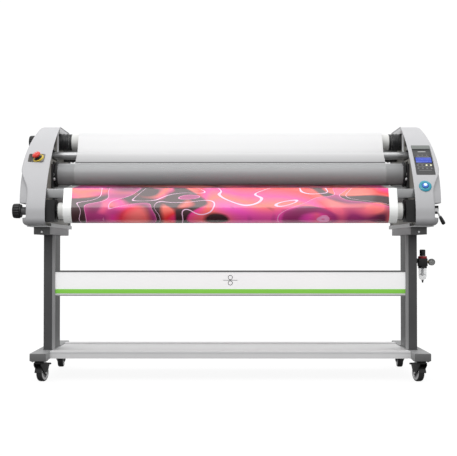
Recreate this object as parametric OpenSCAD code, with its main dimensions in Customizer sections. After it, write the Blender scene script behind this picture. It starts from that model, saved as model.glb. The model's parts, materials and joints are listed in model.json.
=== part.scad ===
// Cold roll laminator on a wheeled stand.
// X runs along the rollers, +Y points to the back and +Z up; the floor is Z = 0.

/* [Machine] */
// Distance between the inner faces of the two end covers
inner_w = 1656; // [1640:2:1680]
// Height of the flat top of the end covers
top_z = 1195; // [1190:1:1200]
// Depth of the end covers, front to back
cover_d = 743; // [741:1:745]
// Width of an end cover's front face
cover_w = 86; // [84:1:88]
// How far the cover's side swells beyond its front face
bulge_w = 42; // [40:1:44]
// Wall of the moulded covers
cover_t = 3.5; // [3:0.5:4]

/* [Rollers] */
// Radius of both laminating rollers
roller_r = 52; // [50:0.5:52]
// Half length of the laminating rollers
roller_half = 816; // [810:1:816]
// Height of the nip between the rollers
nip_z = 904; // [902:1:906]
// Distance of the nip in front of the machine's centre
nip_front = 72; // [70:1:74]
// Free height left at the nip while the rollers are down
nip_gap = 1.8; // [1.6:0.1:2.4]
// How far the air cylinders lift the upper roller
lift = 25; // [20:1:25]
// Radius of the film idler tube
idler_r = 19; // [17:1:20]

/* [Rolls] */
// Outer radius of the film roll
film_r = 60; // [45:1:60]
// Width of the film
film_w = 1470; // [1300:10:1480]
// Outer radius of the printed media roll
media_r = 55; // [45:1:56]
// Width of the printed media
media_w = 1500; // [1300:10:1520]
// Outer radius of the cardboard cores
core_r = 38.5; // [36:0.5:40]
// Thickness of the webs of film and media
web_t = 0.8; // [0.6:0.1:1]

/* [Stand] */
// Length of a foot, front to back
foot_l = 658; // [640:1:670]
// Width of a foot
foot_w = 75; // [70:1:80]
// Height of a foot's tube
foot_h = 35; // [30:1:36]
// Height of the casters, from the floor to the foot
caster_h = 98; // [98:1:100]
// Width of a post
post_w = 42; // [40:1:44]
// Depth of a post, front to back
post_d = 214; // [200:1:220]
// Wall of the steel tubes
steel_t = 3; // [2:0.5:4]

/* [Casters] */
// Radius of a caster wheel
wheel_r = 37.5; // [36:0.5:38]
// Width of a caster wheel
wheel_w = 28; // [26:1:30]
// Distance of the wheel's axle behind the swivel
trail = 28; // [24:1:30]
// Turn of the front casters at rest
front_turn = 18; // [0:1:25]

/* [Hidden] */
$fn = 48;
half_in = inner_w / 2;
fit = 0.05;
saddle_z = 703;

// End covers
cover_x1 = half_in + cover_w;
cover_bot = saddle_z + 5;
cover_front = -cover_d / 2;
bulge_inset = 26;
step_z = 806;
lobe_x = cover_x1 + 21;
lobe_top = 744;
lobe_r = 20;
lobe_y = cover_front + 20;
shoulder_z = 930;
knob_hole_r = 20;

// Side plates, inside the covers
plate_x = half_in + 10;
plate_t = 8;
plate_step_z = 1026;
plate_edge_y = 4.5;

// Roller axes, as [y, z]
top_axis = [-nip_front, nip_z + nip_gap / 2 + roller_r];
low_axis = [-nip_front, nip_z - nip_gap / 2 - roller_r];
idler_axis = [-4, 1052];
film_axis = [74, 1124];
liner_axis = [234, 1080];
media_axis = [-305, 775];
tube_r = 30;
journal_r = 20;
disc_r = 59.5;
housing = 34.5;
guide_x = half_in + 1.5;
shaft_r = 15;
chuck_r = 42;
film_core_half = 787;
media_core_half = 776;
roll_bore = core_r;
core_bore = core_r - 4;

// Guide bars for the media, as [front, back, bottom, top]
front_bar_box = [-325, -285, 833, 875];
rear_bar_box = [245, 285, 829, 877];
web_gap = 0.6;
bend_in = 3;
bend_r = bend_in * 1.42 + web_gap + web_t / 2;

// Drive gears
gear_m = 3;
gear_n = 42;
pinion_n = 17;
gear_x = 850;
gear_w = 18;
gear_play = 0.4;
pinion_z = low_axis[1] - gear_m * (gear_n + pinion_n) / 2 - gear_play;

// Stand
foot_y = -326;
post_y = -162;
saddle_y = -270;
saddle_l = 543;
saddle_w = 68;
saddle_h = 34;
foot_top = caster_h + foot_h;
caster_x = half_in + foot_w / 2;
caster_front_y = -280;
caster_rear_y = 288;
cheek_x = 18;
cheek_t = 2.5;

// Air lever, as the pivot's place and the lever's rest direction
lever_pivot = [929, 779];
lever_tilt = 28;
lever_l = 74;
lever_y = -318;

// Air regulator on the right post
reg_x = 908;
reg_y = -95;

// Film brake knobs
knob_tip = 983;
knob_r = 33.5;
neck_r = 18;

// ---------- helpers ----------

function bez(p, t) = pow(1 - t, 3) * p[0] + 3 * t * pow(1 - t, 2) * p[1]
    + 3 * t * t * (1 - t) * p[2] + pow(t, 3) * p[3];
function bez_line(p, n) = [for (i = [0:n]) bez(p, i / n)];
function arc(c, r, a0, a1, n) =
    [for (i = [0:n]) let (a = a0 + (a1 - a0) * i / n) c + r * [cos(a), sin(a)]];
function unit(v) = v / norm(v);
function side(v) = [-v[1], v[0]];
// Unit normal of a path at one of its points
function path_normal(p, i) = let (
    a = p[max(i - 1, 0)],
    b = p[min(i + 1, len(p) - 1)]) side(unit(b - a));
// Outline of a strip of thickness t that follows a path
function strip(p, t) = concat(
    [for (i = [0:len(p) - 1]) p[i] + path_normal(p, i) * t / 2],
    [for (i = [len(p) - 1:-1:0]) p[i] - path_normal(p, i) * t / 2]);

// A box from its lowest and highest coordinates
module block(x, y, z) {
    translate([x[0], y[0], z[0]])
        cube([x[1] - x[0], y[1] - y[0], z[1] - z[0]]);
}

// Extrudes a [y, z] outline along X
module along_x(x0, x1) {
    translate([x0, 0, 0])
        rotate([90, 0, 90])
            linear_extrude(height = x1 - x0)
                children();
}

// A rod along X about a [y, z] axis
module rod(axis, r, x0, x1) {
    translate([x0, axis[0], axis[1]])
        rotate([0, 90, 0])
            cylinder(r = r, h = x1 - x0);
}

// Draws the children at the right end and mirrored at the left end
module both() {
    children();
    mirror([1, 0, 0])
        children();
}

// ---------- end covers ----------

front_curve = [[cover_front + 1, 777], [-340.5, 925], [-160.5, 1110], [44.5, top_z]];
foot_curve = [[-330, cover_bot], [-352, cover_bot], [cover_front + 1, 718],
    [cover_front + 1, 741]];
rear_curve = [[321, top_z], [352, 1160], [-cover_front, 1020], [-cover_front, 930]];
cover_mid = [0, 950];
function cover_outline() = concat(bez_line(foot_curve, 5), bez_line(front_curve, 16),
    bez_line(rear_curve, 8), [[-cover_front, cover_bot]]);
// The outline moved inward by d
function cover_inset(d) = let (
    ky = 1 - d / (cover_d / 2),
    kz = 1 - d / (top_z - cover_mid[1]))
    [for (p = cover_outline())
        cover_mid + [(p[0] - cover_mid[0]) * ky, (p[1] - cover_mid[1]) * kz]];
function front_slope(t) = let (
    a = bez(front_curve, t - 0.02),
    b = bez(front_curve, t + 0.02)) atan2(b[1] - a[1], b[0] - a[0]);

// The side silhouette of the swelling above the cover's notch, shrunk by d
module bulge_limit(d) {
    swell = [[cover_x1 + bulge_w * 0.1, top_z + 1], [cover_x1 + bulge_w * 0.74, 1120],
        [cover_x1 + bulge_w * 1.2, 1010], [cover_x1 + bulge_w * 0.83, step_z]];
    translate([-d, cover_d, 0])
        rotate([90, 0, 0])
            linear_extrude(height = 2 * cover_d)
                intersection() {
                    polygon(concat([[cover_x1 - 40, step_z], [cover_x1 - 40, top_z + 1]],
                        bez_line(swell, 12)));
                    translate([cover_x1 - 50, step_z + d])
                        square([bulge_w + 90, top_z]);
                }
}

// Moulded swelling on the cover's outer side, shrunk by d
module cover_bulge(d) {
    x1 = cover_x1 + bulge_w + 10;
    intersection() {
        union() {
            intersection() {
                along_x(cover_x1 - d - 1, x1)
                    polygon(cover_inset(d + 1));
                block([cover_x1 - 40, x1], [cover_front, -cover_front],
                    [shoulder_z + d, top_z]);
            }
            along_x(cover_x1 - d - 1, x1)
                polygon(cover_inset(bulge_inset + d));
        }
        bulge_limit(d);
    }
}

// Rounded lobe at the bottom of the cover's outer side, shrunk by d
module cover_lobe(d) {
    x0 = cover_x1 - cover_t - 1;
    translate([0, -lobe_y - d, 0])
        rotate([90, 0, 0])
            linear_extrude(height = -2 * (lobe_y + d))
                polygon(concat([[x0, lobe_top - d], [x0, cover_bot - d]],
                    arc([lobe_x - lobe_r - d, cover_bot + lobe_r], lobe_r, -90, 0, 6),
                    [[lobe_x - d, lobe_top - d]]));
}

// The end cover's outer shape, as a solid
module cover_solid() {
    along_x(half_in, cover_x1)
        polygon(cover_outline());
    cover_bulge(0);
    cover_lobe(0);
}

// Hollow end cover, open towards the rollers and at the bottom
module cover_shell() {
    difference() {
        cover_solid();
        along_x(half_in - 1, cover_x1 - cover_t)
            polygon(cover_inset(cover_t));
        block([half_in - 1, cover_x1 - cover_t],
            [cover_front + 22, -cover_front - cover_t], [cover_bot - 1, 740]);
        cover_bulge(cover_t);
        cover_lobe(cover_t);
    }
}

// Places the children on the cover's front curve, with +Z pointing outward
module on_front(x, t) {
    p = bez(front_curve, t);
    translate([x, p[0], p[1]])
        rotate([front_slope(t), 0, 0])
            children();
}

// Places the children on the chord of the front curve between two of its points
module on_chord(x, t0, t1) {
    a = bez(front_curve, t0);
    b = bez(front_curve, t1);
    translate([x, (a[0] + b[0]) / 2, (a[1] + b[1]) / 2])
        rotate([atan2(b[1] - a[1], b[0] - a[0]), 0, 0])
            children();
}

panel_from = 0.33;
panel_to = 0.70;
panel_x = 890;
panel_w = 88;
panel_l = 212;
estop_x = 887;
estop_from = 0.48;
estop_to = 0.58;
estop_rise = 6;
estop_turn = 22;
estop_l = 60;
estop_w = 70;
estop_shift = 7;
dial_x = 878;
dial_t = 0.235;
dial_r = 29;

// The emergency stop's place, with +Z along its axis
module estop_place() {
    on_chord(estop_x, estop_from, estop_to)
        rotate([-estop_rise, estop_turn, 0])
            children();
}

module left_cover() {
    color("gainsboro")
        mirror([1, 0, 0])
            difference() {
                cover_shell();
                rod(film_axis, knob_hole_r, half_in + 40, knob_tip);
                rod(media_axis, knob_hole_r, half_in + 40, knob_tip);
                estop_place()
                    translate([estop_shift - estop_w / 2, -estop_l / 2, -12])
                        cube([estop_w, estop_l, 60]);
            }
}

module right_cover() {
    color("gainsboro")
        difference() {
            cover_shell();
            on_chord(panel_x, panel_from, panel_to)
                translate([-panel_w / 2, -panel_l / 2, -12])
                    cube([panel_w, panel_l, 40]);
            on_front(dial_x, dial_t)
                translate([0, 0, -12])
                    cylinder(r = dial_r, h = 30);
        }
}

// ---------- side plates and trays ----------

module side_plate() {
    slot_h = 2 * housing + lift + 2;
    difference() {
        along_x(plate_x, plate_x + plate_t)
            polygon([[-345, cover_bot], [-345, 800], [-316, 880], [-262, 962],
                [-205, plate_step_z], [plate_edge_y, plate_step_z],
                [plate_edge_y, 1160], [46, 1186], [316, 1186], [356, 1000],
                [364, cover_bot]]);
        block([plate_x - 1, plate_x + plate_t + 1],
            [top_axis[0] - housing - 0.5, top_axis[0] + housing + 0.5],
            [top_axis[1] - housing - 1, top_axis[1] - housing - 1 + slot_h]);
        rod(low_axis, journal_r + 4, plate_x - 1, plate_x + plate_t + 1);
        for (axis = [film_axis, liner_axis, media_axis])
            rod(axis, shaft_r + 2, plate_x - 1, plate_x + plate_t + 1);
        rod(idler_axis, idler_r + 1.5, plate_x - 1, plate_x + plate_t + 1);
    }
}

module left_side_plate() {
    color("tan")
        mirror([1, 0, 0])
            side_plate();
}

module right_side_plate() {
    color("tan")
        side_plate();
}

module base_trays() {
    lip_t = 3;
    lip_x = half_in - 6;
    color("silver")
        both()
            union() {
                block([lip_x, cover_x1 - 2], [-345, -cover_front], [saddle_z, cover_bot]);
                block([lip_x, lip_x + lip_t], [-240, -cover_front],
                    [saddle_z, cover_bot + 12]);
            }
}

// ---------- bars between the side plates ----------

// A hollow bar between the side plates, from its [front, back, bottom, top]
module bar(b, wall) {
    difference() {
        block([-plate_x, plate_x], [b[0], b[1]], [b[2], b[3]]);
        block([-plate_x - 1, plate_x + 1], [b[0] + wall, b[1] - wall],
            [b[2] + wall, b[3] - wall]);
    }
}

module front_bar() {
    color("silver")
        bar(front_bar_box, steel_t);
}

module rear_bar() {
    color("silver")
        bar(rear_bar_box, steel_t);
}

module tie_beam() {
    color("dimgray")
        bar([100, 150, 745, 800], steel_t);
}

// ---------- laminating rollers ----------

module sleeve(axis) {
    difference() {
        rod(axis, roller_r, -roller_half, roller_half);
        rod(axis, tube_r, -roller_half - 1, roller_half + 1);
    }
}

module top_roller() {
    color("darkgray")
        sleeve(top_axis);
}

module top_roller_shaft() {
    color("black")
        union() {
            rod(top_axis, tube_r, -roller_half, roller_half);
            both()
                union() {
                    rod(top_axis, disc_r, roller_half, half_in);
                    rod(top_axis, journal_r, half_in, half_in + 46);
                }
        }
}

// Sliding blocks that carry the upper roller, with the guide plates in front of them
module bearing_blocks() {
    y = top_axis[0];
    z = top_axis[1];
    color("black")
        both()
            difference() {
                union() {
                    block([guide_x, plate_x - 0.5], [y - 80, y + 40], [low_axis[1] + 36, z + 44]);
                    block([guide_x, guide_x + 46], [y - housing, y + housing],
                        [z - housing, z + housing]);
                }
                rod(top_axis, journal_r + fit, guide_x - 1, guide_x + 60);
            }
}

module lower_roller() {
    color("darkgray")
        sleeve(low_axis);
}

module lower_roller_shaft() {
    color("silver")
        union() {
            rod(low_axis, tube_r, -roller_half, roller_half);
            rod(low_axis, journal_r, -gear_x - gear_w, gear_x + gear_w);
        }
}

module lower_bearings() {
    color("black")
        both()
            difference() {
                block([guide_x, plate_x], [low_axis[0] - 36, low_axis[0] + 36],
                    [low_axis[1] - 33, low_axis[1] + 33]);
                rod(low_axis, journal_r + fit, guide_x - 1, plate_x + 1);
            }
}

module idler_tube() {
    color("silver")
        difference() {
            rod(idler_axis, idler_r, -862, 862);
            rod(idler_axis, 8 + fit, -863, 863);
        }
}

// ---------- drive ----------

// A spur gear outline with straight-sided teeth, one tooth centred on angle a
module gear_outline(n, a) {
    pitch_r = gear_m * n / 2;
    root_r = pitch_r - gear_m * 1.2;
    tip_r = pitch_r + gear_m * 0.85;
    step = 360 / n;
    polygon([for (i = [0:n - 1], k = [[root_r, -0.29], [tip_r, -0.12], [tip_r, 0.12],
        [root_r, 0.29]]) k[0] * [cos(a + step * (i + k[1])), sin(a + step * (i + k[1]))]]);
}

module roller_gear() {
    color("dimgray")
        difference() {
            translate([0, low_axis[0], low_axis[1]])
                along_x(-gear_x - gear_w, -gear_x)
                    gear_outline(gear_n, -90);
            rod(low_axis, journal_r, -gear_x - gear_w - 1, -gear_x + 1);
        }
}

module motor_pinion() {
    color("silver")
        union() {
            translate([0, low_axis[0], pinion_z])
                along_x(-gear_x - gear_w, -gear_x)
                    gear_outline(pinion_n, 90 + 180 / pinion_n);
            rod([low_axis[0], pinion_z], 6, -gear_x - gear_w - 14, -gear_x - gear_w);
        }
}

module drive_motor() {
    box_x = [-908, -gear_x - gear_w - 3];
    color("dimgray")
        difference() {
            union() {
                block(box_x, [low_axis[0] - 34, low_axis[0] + 40], [cover_bot, 800]);
                translate([-888, low_axis[0] + 40, 744])
                    rotate([-90, 0, 0])
                        cylinder(r = 20, h = 150);
            }
            rod([low_axis[0], pinion_z], 6 + fit, box_x[1] - 14, box_x[1] + 1);
        }
}

module air_cylinders() {
    x = half_in + 34;
    y = top_axis[0];
    color("silver")
        both()
            difference() {
                union() {
                    translate([x, y, 1024])
                        cylinder(r = 14, h = 76);
                    block([plate_x + plate_t, x + 12], [y - 10, 32], [1076, 1096]);
                }
                translate([x, y, 1023])
                    cylinder(r = 6 + fit, h = 74);
            }
}

module piston_rods() {
    x = half_in + 34;
    color("silver")
        both()
            translate([x, top_axis[0], top_axis[1] + housing])
                cylinder(r = 6, h = 74);
}

// ---------- shafts, cores and rolls ----------

// Blocks on the side plates that hold the shafts, and the stub axles of the idler tube
module shaft_supports() {
    color("black")
        both()
            union() {
                for (axis = [film_axis, liner_axis])
                    difference() {
                        rod(axis, chuck_r - 2, 792, plate_x);
                        rod(axis, shaft_r + fit, 791, plate_x + 1);
                    }
                difference() {
                    block([788, plate_x], [media_axis[0] - 46, media_axis[0] + 46],
                        [media_axis[1] - 50, media_axis[1] + 50]);
                    rod(media_axis, shaft_r + fit, 787, plate_x + 1);
                }
                for (z = [-9, 7])
                    translate([796, media_axis[0] - 46, media_axis[1] + z])
                        rotate([90, 0, 0])
                            cylinder(r = 4.5, h = 4);
                block([863, 869], [idler_axis[0] - 20, 32],
                    [idler_axis[1] - 18, idler_axis[1] + 16]);
                block([plate_x + plate_t, 863], [17, 32],
                    [idler_axis[1] - 18, idler_axis[1] + 16]);
                rod(idler_axis, 8, 843, 863);
            }
}

// A winding shaft with a chuck at each end
module winding_shaft(axis, core_half) {
    union() {
        rod(axis, shaft_r, -858, 858);
        both()
            union() {
                rod(axis, core_bore, core_half - 50, core_half);
                rod(axis, chuck_r - 2, core_half, core_half + 4);
            }
    }
}

module core(axis, half) {
    difference() {
        rod(axis, core_r, -half, half);
        rod(axis, core_bore, -half - 1, half + 1);
    }
}

module roll(axis, r, half) {
    difference() {
        rod(axis, r, -half, half);
        rod(axis, roll_bore, -half - 1, half + 1);
    }
}

module film_shaft() {
    color("black")
        winding_shaft(film_axis, film_core_half);
}

module film_core() {
    color("white")
        core(film_axis, film_core_half);
}

module film_roll() {
    color("white")
        roll(film_axis, film_r, film_w / 2);
}

module liner_shaft() {
    color("black")
        union() {
            winding_shaft(liner_axis, film_core_half);
            rod(liner_axis, core_r, -film_core_half, film_core_half);
        }
}

module media_shaft() {
    color("black")
        winding_shaft(media_axis, media_core_half);
}

module media_core() {
    color("white")
        core(media_axis, media_core_half);
}

module media_roll() {
    color("crimson")
        roll(media_axis, media_r, media_w / 2);
}

// The film leaves the front of its roll, turns round the idler tube and its liner
// runs back to the take-up core
module film_web() {
    rf = film_r + web_gap + web_t / 2;
    ri = idler_r + web_gap + web_t / 2;
    rl = core_r + web_gap + web_t / 2;
    d = idler_axis - film_axis;
    a = atan2(d[1], d[0]) - acos((rf - ri) / norm(d));
    e = liner_axis - idler_axis;
    b = atan2(e[1], e[0]) - 90 - asin((rl - ri) / norm(e));
    color("white")
        along_x(-film_w / 2, film_w / 2)
            polygon(strip(concat([film_axis + rf * [cos(a), sin(a)]],
                arc(idler_axis, ri, a + 360, b + 360, 12),
                [liner_axis + rl * [cos(b), sin(b)]]), web_t));
}

// The media leaves the front of its roll, passes over the front bar, through the nip
// and over the rear bar, where it hangs down
module media_web() {
    rm = media_r + web_gap + web_t / 2;
    bend = [front_bar_box[0] + bend_in, front_bar_box[3] - bend_in];
    rear_bend = [rear_bar_box[1] - bend_in, rear_bar_box[3] - bend_in];
    nip = [-nip_front, nip_z];
    color("white")
        along_x(-media_w / 2, media_w / 2)
            polygon(strip(concat([media_axis + rm * [cos(160), sin(160)]],
                arc(bend, bend_r, 160, 96, 6), [nip - [18, 0], nip + [18, 0]],
                arc(rear_bend, bend_r, 86, 0, 6), [rear_bend + [bend_r, -130]]), web_t));
}

// A brake knob on the left end of a winding shaft
module brake_knob(axis) {
    groove = 2.5;
    grooves = 16;
    difference() {
        union() {
            rod(axis, neck_r, -946, -864);
            rod(axis, knob_r - 3.5, -951, -944);
            rod(axis, knob_r, -knob_tip + 4, -951);
            rod(axis, knob_r - 4, -knob_tip, -knob_tip + 4);
        }
        for (i = [0:grooves - 1])
            let (a = i * 360 / grooves)
                rod(axis + knob_r * [cos(a), sin(a)], groove, -knob_tip - 1, -953);
    }
}

module film_knob() {
    color("black")
        brake_knob(film_axis);
}

module media_knob() {
    color("black")
        brake_knob(media_axis);
}

// ---------- controls ----------

module control_panel() {
    gap = 0.4;
    color("darkslategray")
        on_chord(panel_x, panel_from, panel_to)
            translate([-panel_w / 2 + gap, -panel_l / 2 + gap, -8])
                cube([panel_w - 2 * gap, panel_l - 2 * gap, 8]);
}

module dial_ring() {
    color("darkcyan")
        on_front(dial_x, dial_t)
            difference() {
                union() {
                    translate([0, 0, -6])
                        cylinder(r = dial_r - 0.4, h = 8);
                    translate([0, 0, 2])
                        cylinder(r1 = dial_r - 0.4, r2 = dial_r - 6, h = 4);
                }
                cylinder(r = 14.5, h = 10);
            }
}

module dial_button() {
    color("dodgerblue")
        on_front(dial_x, dial_t)
            translate([0, 0, 3])
                rotate_extrude()
                    polygon([[0, 0], [14, 0], [14, 4], [12.5, 6], [8, 7.6], [0, 8.4]]);
}

// Recessed tray of the emergency stop, trimmed to the cover's surface
module estop_tray() {
    gap = 0.4;
    wall = 2;
    w = estop_w - 2 * gap;
    l = estop_l - 2 * gap;
    intersection() {
        cover_solid();
        estop_place()
            difference() {
                translate([estop_shift - w / 2, -l / 2, -10])
                    cube([w, l, 50]);
                translate([estop_shift - w / 2 + wall, -l / 2 + wall, -6])
                    cube([w - 2 * wall, l - 2 * wall, 60]);
            }
    }
}

module estop_base() {
    color("gold")
        mirror([1, 0, 0])
            difference() {
                union() {
                    estop_tray();
                    estop_place()
                        translate([0, 0, -7])
                            cylinder(r = 26, h = 8);
                    estop_place()
                        cylinder(r = 13, h = 9);
                }
                estop_place()
                    translate([0, 0, -3])
                        cylinder(r = 8 + fit, h = 20);
            }
}

module estop_cap() {
    color("red")
        mirror([1, 0, 0])
            estop_place()
                rotate_extrude()
                    polygon([[0, 2], [8, 2], [8, 14], [16, 14], [20, 17], [20, 22],
                        [17, 26], [10, 28], [0, 28.5]]);
}

module air_lever() {
    color("dimgray")
        translate([lever_pivot[0], lever_y, lever_pivot[1]])
            difference() {
                union() {
                    rotate([90, 0, 0])
                        cylinder(r = 9, h = 9);
                    rotate([0, 180 - lever_tilt, 0])
                        translate([0, -4.5, 4])
                            union() {
                                cylinder(r = 4, h = 40);
                                translate([0, 0, 38])
                                    cylinder(r1 = 7, r2 = 9, h = 14);
                                translate([0, 0, 52])
                                    cylinder(r = 9, h = lever_l - 56);
                            }
                }
                translate([0, 1, 0])
                    rotate([90, 0, 0])
                        cylinder(r = 4 + fit, h = 11);
            }
}

module regulator_body() {
    color("black")
        union() {
            block([half_in + post_w, reg_x - 18], [reg_y - 10, reg_y + 10], [535, 560]);
            block([reg_x - 21, reg_x + 21], [reg_y - 21, reg_y + 21], [522, 569]);
            translate([reg_x, reg_y, 456])
                cylinder(r = 19, h = 66);
            translate([reg_x, reg_y, 444])
                cylinder(r = 5, h = 12);
            rod([reg_y, 541], 5, reg_x + 21, 936);
            translate([950, reg_y + 10, 541])
                rotate([90, 0, 0])
                    cylinder(r = 16, h = 22);
            translate([reg_x, reg_y, 569])
                cylinder(r = 5, h = 20);
        }
}

module regulator_knob() {
    color("black")
        translate([reg_x, reg_y, 569.5])
            difference() {
                cylinder(r = 14, h = 30.5);
                translate([0, 0, -1])
                    cylinder(r = 5 + fit, h = 22);
            }
}

// ---------- stand ----------

module foot() {
    difference() {
        block([half_in, half_in + foot_w], [foot_y, foot_y + foot_l], [caster_h, foot_top]);
        block([half_in + steel_t, half_in + foot_w - steel_t],
            [foot_y - 1, foot_y + foot_l + 1], [caster_h + steel_t, foot_top - steel_t]);
    }
}

module left_foot() {
    color("silver")
        mirror([1, 0, 0])
            foot();
}

module right_foot() {
    color("silver")
        foot();
}

module foot_caps() {
    t = 12;
    color("dimgray")
        both()
            for (y = [foot_y, foot_y + foot_l - t])
                block([half_in + steel_t, half_in + foot_w - steel_t], [y, y + t],
                    [caster_h + steel_t, foot_top - steel_t]);
}

module post() {
    difference() {
        block([half_in, half_in + post_w], [post_y, post_y + post_d],
            [foot_top, saddle_z - saddle_h]);
        block([half_in + steel_t, half_in + post_w - steel_t],
            [post_y + steel_t, post_y + post_d - steel_t],
            [foot_top - 1, saddle_z - saddle_h + 1]);
    }
}

module left_post() {
    color("dimgray")
        mirror([1, 0, 0])
            post();
}

module right_post() {
    color("dimgray")
        post();
}

// Upper beam, a channel open at the bottom, with a bolt in its front end
module saddle() {
    x = [half_in - 6, half_in + saddle_w];
    difference() {
        union() {
            block(x, [saddle_y, saddle_y + saddle_l], [saddle_z - saddle_h, saddle_z]);
            translate([half_in + saddle_w / 2, saddle_y, saddle_z - saddle_h * 0.6])
                rotate([90, 0, 0])
                    cylinder(r = 5, h = 4);
        }
        for (y = [[saddle_y + steel_t, post_y - steel_t],
            [post_y + post_d + steel_t, saddle_y + saddle_l - steel_t]])
            block([x[0] + steel_t, x[1] - steel_t], y,
                [saddle_z - saddle_h - 1, saddle_z - steel_t]);
    }
}

module left_saddle() {
    color("dimgray")
        mirror([1, 0, 0])
            saddle();
}

module right_saddle() {
    color("dimgray")
        saddle();
}

module cross_panel() {
    y = [post_y + 12, post_y + 37];
    z = [384, 502];
    color("silver")
        difference() {
            block([-half_in, half_in], y, z);
            block([-half_in - 1, half_in + 1], [y[0] + 2, y[1] - 2], [z[0] + 2, z[1] - 2]);
        }
}

module lower_shelf() {
    y = [-225, 253];
    t = 3;
    color("silver")
        along_x(-half_in, half_in)
            polygon([[y[0], 100], [y[0], foot_top], [y[0] + 60, foot_top],
                [y[0] + 60, foot_top - 5], [y[1] - 60, foot_top - 5],
                [y[1] - 60, foot_top], [y[1], foot_top], [y[1], 100],
                [y[1] - t, 100], [y[1] - t, foot_top - t], [y[1] - 60 + t, foot_top - t],
                [y[1] - 60 + t, foot_top - 5 - t], [y[0] + 60 - t, foot_top - 5 - t],
                [y[0] + 60 - t, foot_top - t], [y[0] + t, foot_top - t], [y[0] + t, 100]]);
}

// ---------- casters ----------

// Places a caster: sx is the side, y its swivel axis and a its turn
module at_caster(sx, y, a) {
    translate([sx * caster_x, y, 0])
        rotate([0, 0, a])
            children();
}

module caster_plates() {
    color("dimgray")
        for (sx = [-1, 1], y = [caster_front_y, caster_rear_y])
            translate([sx * caster_x, y, 0])
                union() {
                    block([-34, 34], [-30, 30], [caster_h - 3, caster_h]);
                    translate([0, 0, caster_h - 7])
                        cylinder(r = 22, h = 4);
                    translate([0, 0, caster_h - 14])
                        cylinder(r = 6, h = 8);
                }
}

module fork() {
    top = caster_h - 7.4;
    difference() {
        union() {
            translate([0, 0, top - 5])
                cylinder(r = 24, h = 5);
            for (s = [-1, 1])
                translate([s * cheek_x - cheek_t / 2, 0, 0])
                    rotate([90, 0, 90])
                        linear_extrude(height = cheek_t)
                            polygon([[-16, top - 1], [16, top - 1], [56, 76], [57, 67],
                                [trail + 12, wheel_r - 6], [trail + 5, wheel_r - 11],
                                [trail - 5, wheel_r - 11], [trail - 12, wheel_r - 4]]);
            translate([-cheek_x - 2, trail, wheel_r])
                rotate([0, 90, 0])
                    cylinder(r = 5, h = 2 * cheek_x + 4);
            translate([-cheek_x, 52, 72])
                rotate([0, 90, 0])
                    cylinder(r = 2, h = 2 * cheek_x);
        }
        translate([0, 0, top - 6])
            cylinder(r = 6 + fit, h = 7);
    }
}

module wheel() {
    translate([-wheel_w / 2, trail, wheel_r])
        rotate([90, 0, 90])
            rotate_extrude()
                polygon([[5 + fit, 0], [11, 0], [12, 3], [26, 3], [28, 0], [wheel_r - 4, 0],
                    [wheel_r, 5], [wheel_r, wheel_w - 5], [wheel_r - 4, wheel_w],
                    [28, wheel_w], [26, wheel_w - 3], [12, wheel_w - 3], [11, wheel_w],
                    [5 + fit, wheel_w]]);
}

module pedal() {
    difference() {
        union() {
            translate([-14, 52, 72])
                rotate([0, 90, 0])
                    cylinder(r = 4.5, h = 28);
            block([-14, 14], [52, 88], [71, 75]);
            block([-14, 14], [80, 88], [71, 79]);
        }
        translate([-15, 52, 72])
            rotate([0, 90, 0])
                cylinder(r = 2 + fit, h = 30);
    }
}

module front_left_fork() {
    color("black") at_caster(-1, caster_front_y, -front_turn) fork();
}
module front_right_fork() {
    color("black") at_caster(1, caster_front_y, front_turn) fork();
}
module rear_left_fork() {
    color("black") at_caster(-1, caster_rear_y, 0) fork();
}
module rear_right_fork() {
    color("black") at_caster(1, caster_rear_y, 0) fork();
}
module front_left_wheel() {
    color("black") at_caster(-1, caster_front_y, -front_turn) wheel();
}
module front_right_wheel() {
    color("black") at_caster(1, caster_front_y, front_turn) wheel();
}
module rear_left_wheel() {
    color("black") at_caster(-1, caster_rear_y, 0) wheel();
}
module rear_right_wheel() {
    color("black") at_caster(1, caster_rear_y, 0) wheel();
}
module left_brake_pedal() {
    color("black") at_caster(-1, caster_front_y, -front_turn) pedal();
}
module right_brake_pedal() {
    color("black") at_caster(1, caster_front_y, front_turn) pedal();
}

left_foot();
right_foot();
foot_caps();
left_post();
right_post();
left_saddle();
right_saddle();
cross_panel();
lower_shelf();
caster_plates();
front_left_fork();
front_right_fork();
rear_left_fork();
rear_right_fork();
front_left_wheel();
front_right_wheel();
rear_left_wheel();
rear_right_wheel();
left_brake_pedal();
right_brake_pedal();
base_trays();
left_side_plate();
right_side_plate();
left_cover();
right_cover();
front_bar();
rear_bar();
tie_beam();
idler_tube();
top_roller();
top_roller_shaft();
bearing_blocks();
lower_roller();
lower_roller_shaft();
lower_bearings();
roller_gear();
motor_pinion();
drive_motor();
air_cylinders();
piston_rods();
shaft_supports();
film_shaft();
film_core();
film_roll();
film_web();
film_knob();
liner_shaft();
media_shaft();
media_core();
media_roll();
media_web();
media_knob();
control_panel();
dial_ring();
dial_button();
estop_base();
estop_cap();
air_lever();
regulator_body();
regulator_knob();
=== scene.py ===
import json
import math
import random

import bmesh
import bpy
from mathutils import Matrix, Vector
from mathutils.bvhtree import BVHTree


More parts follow.
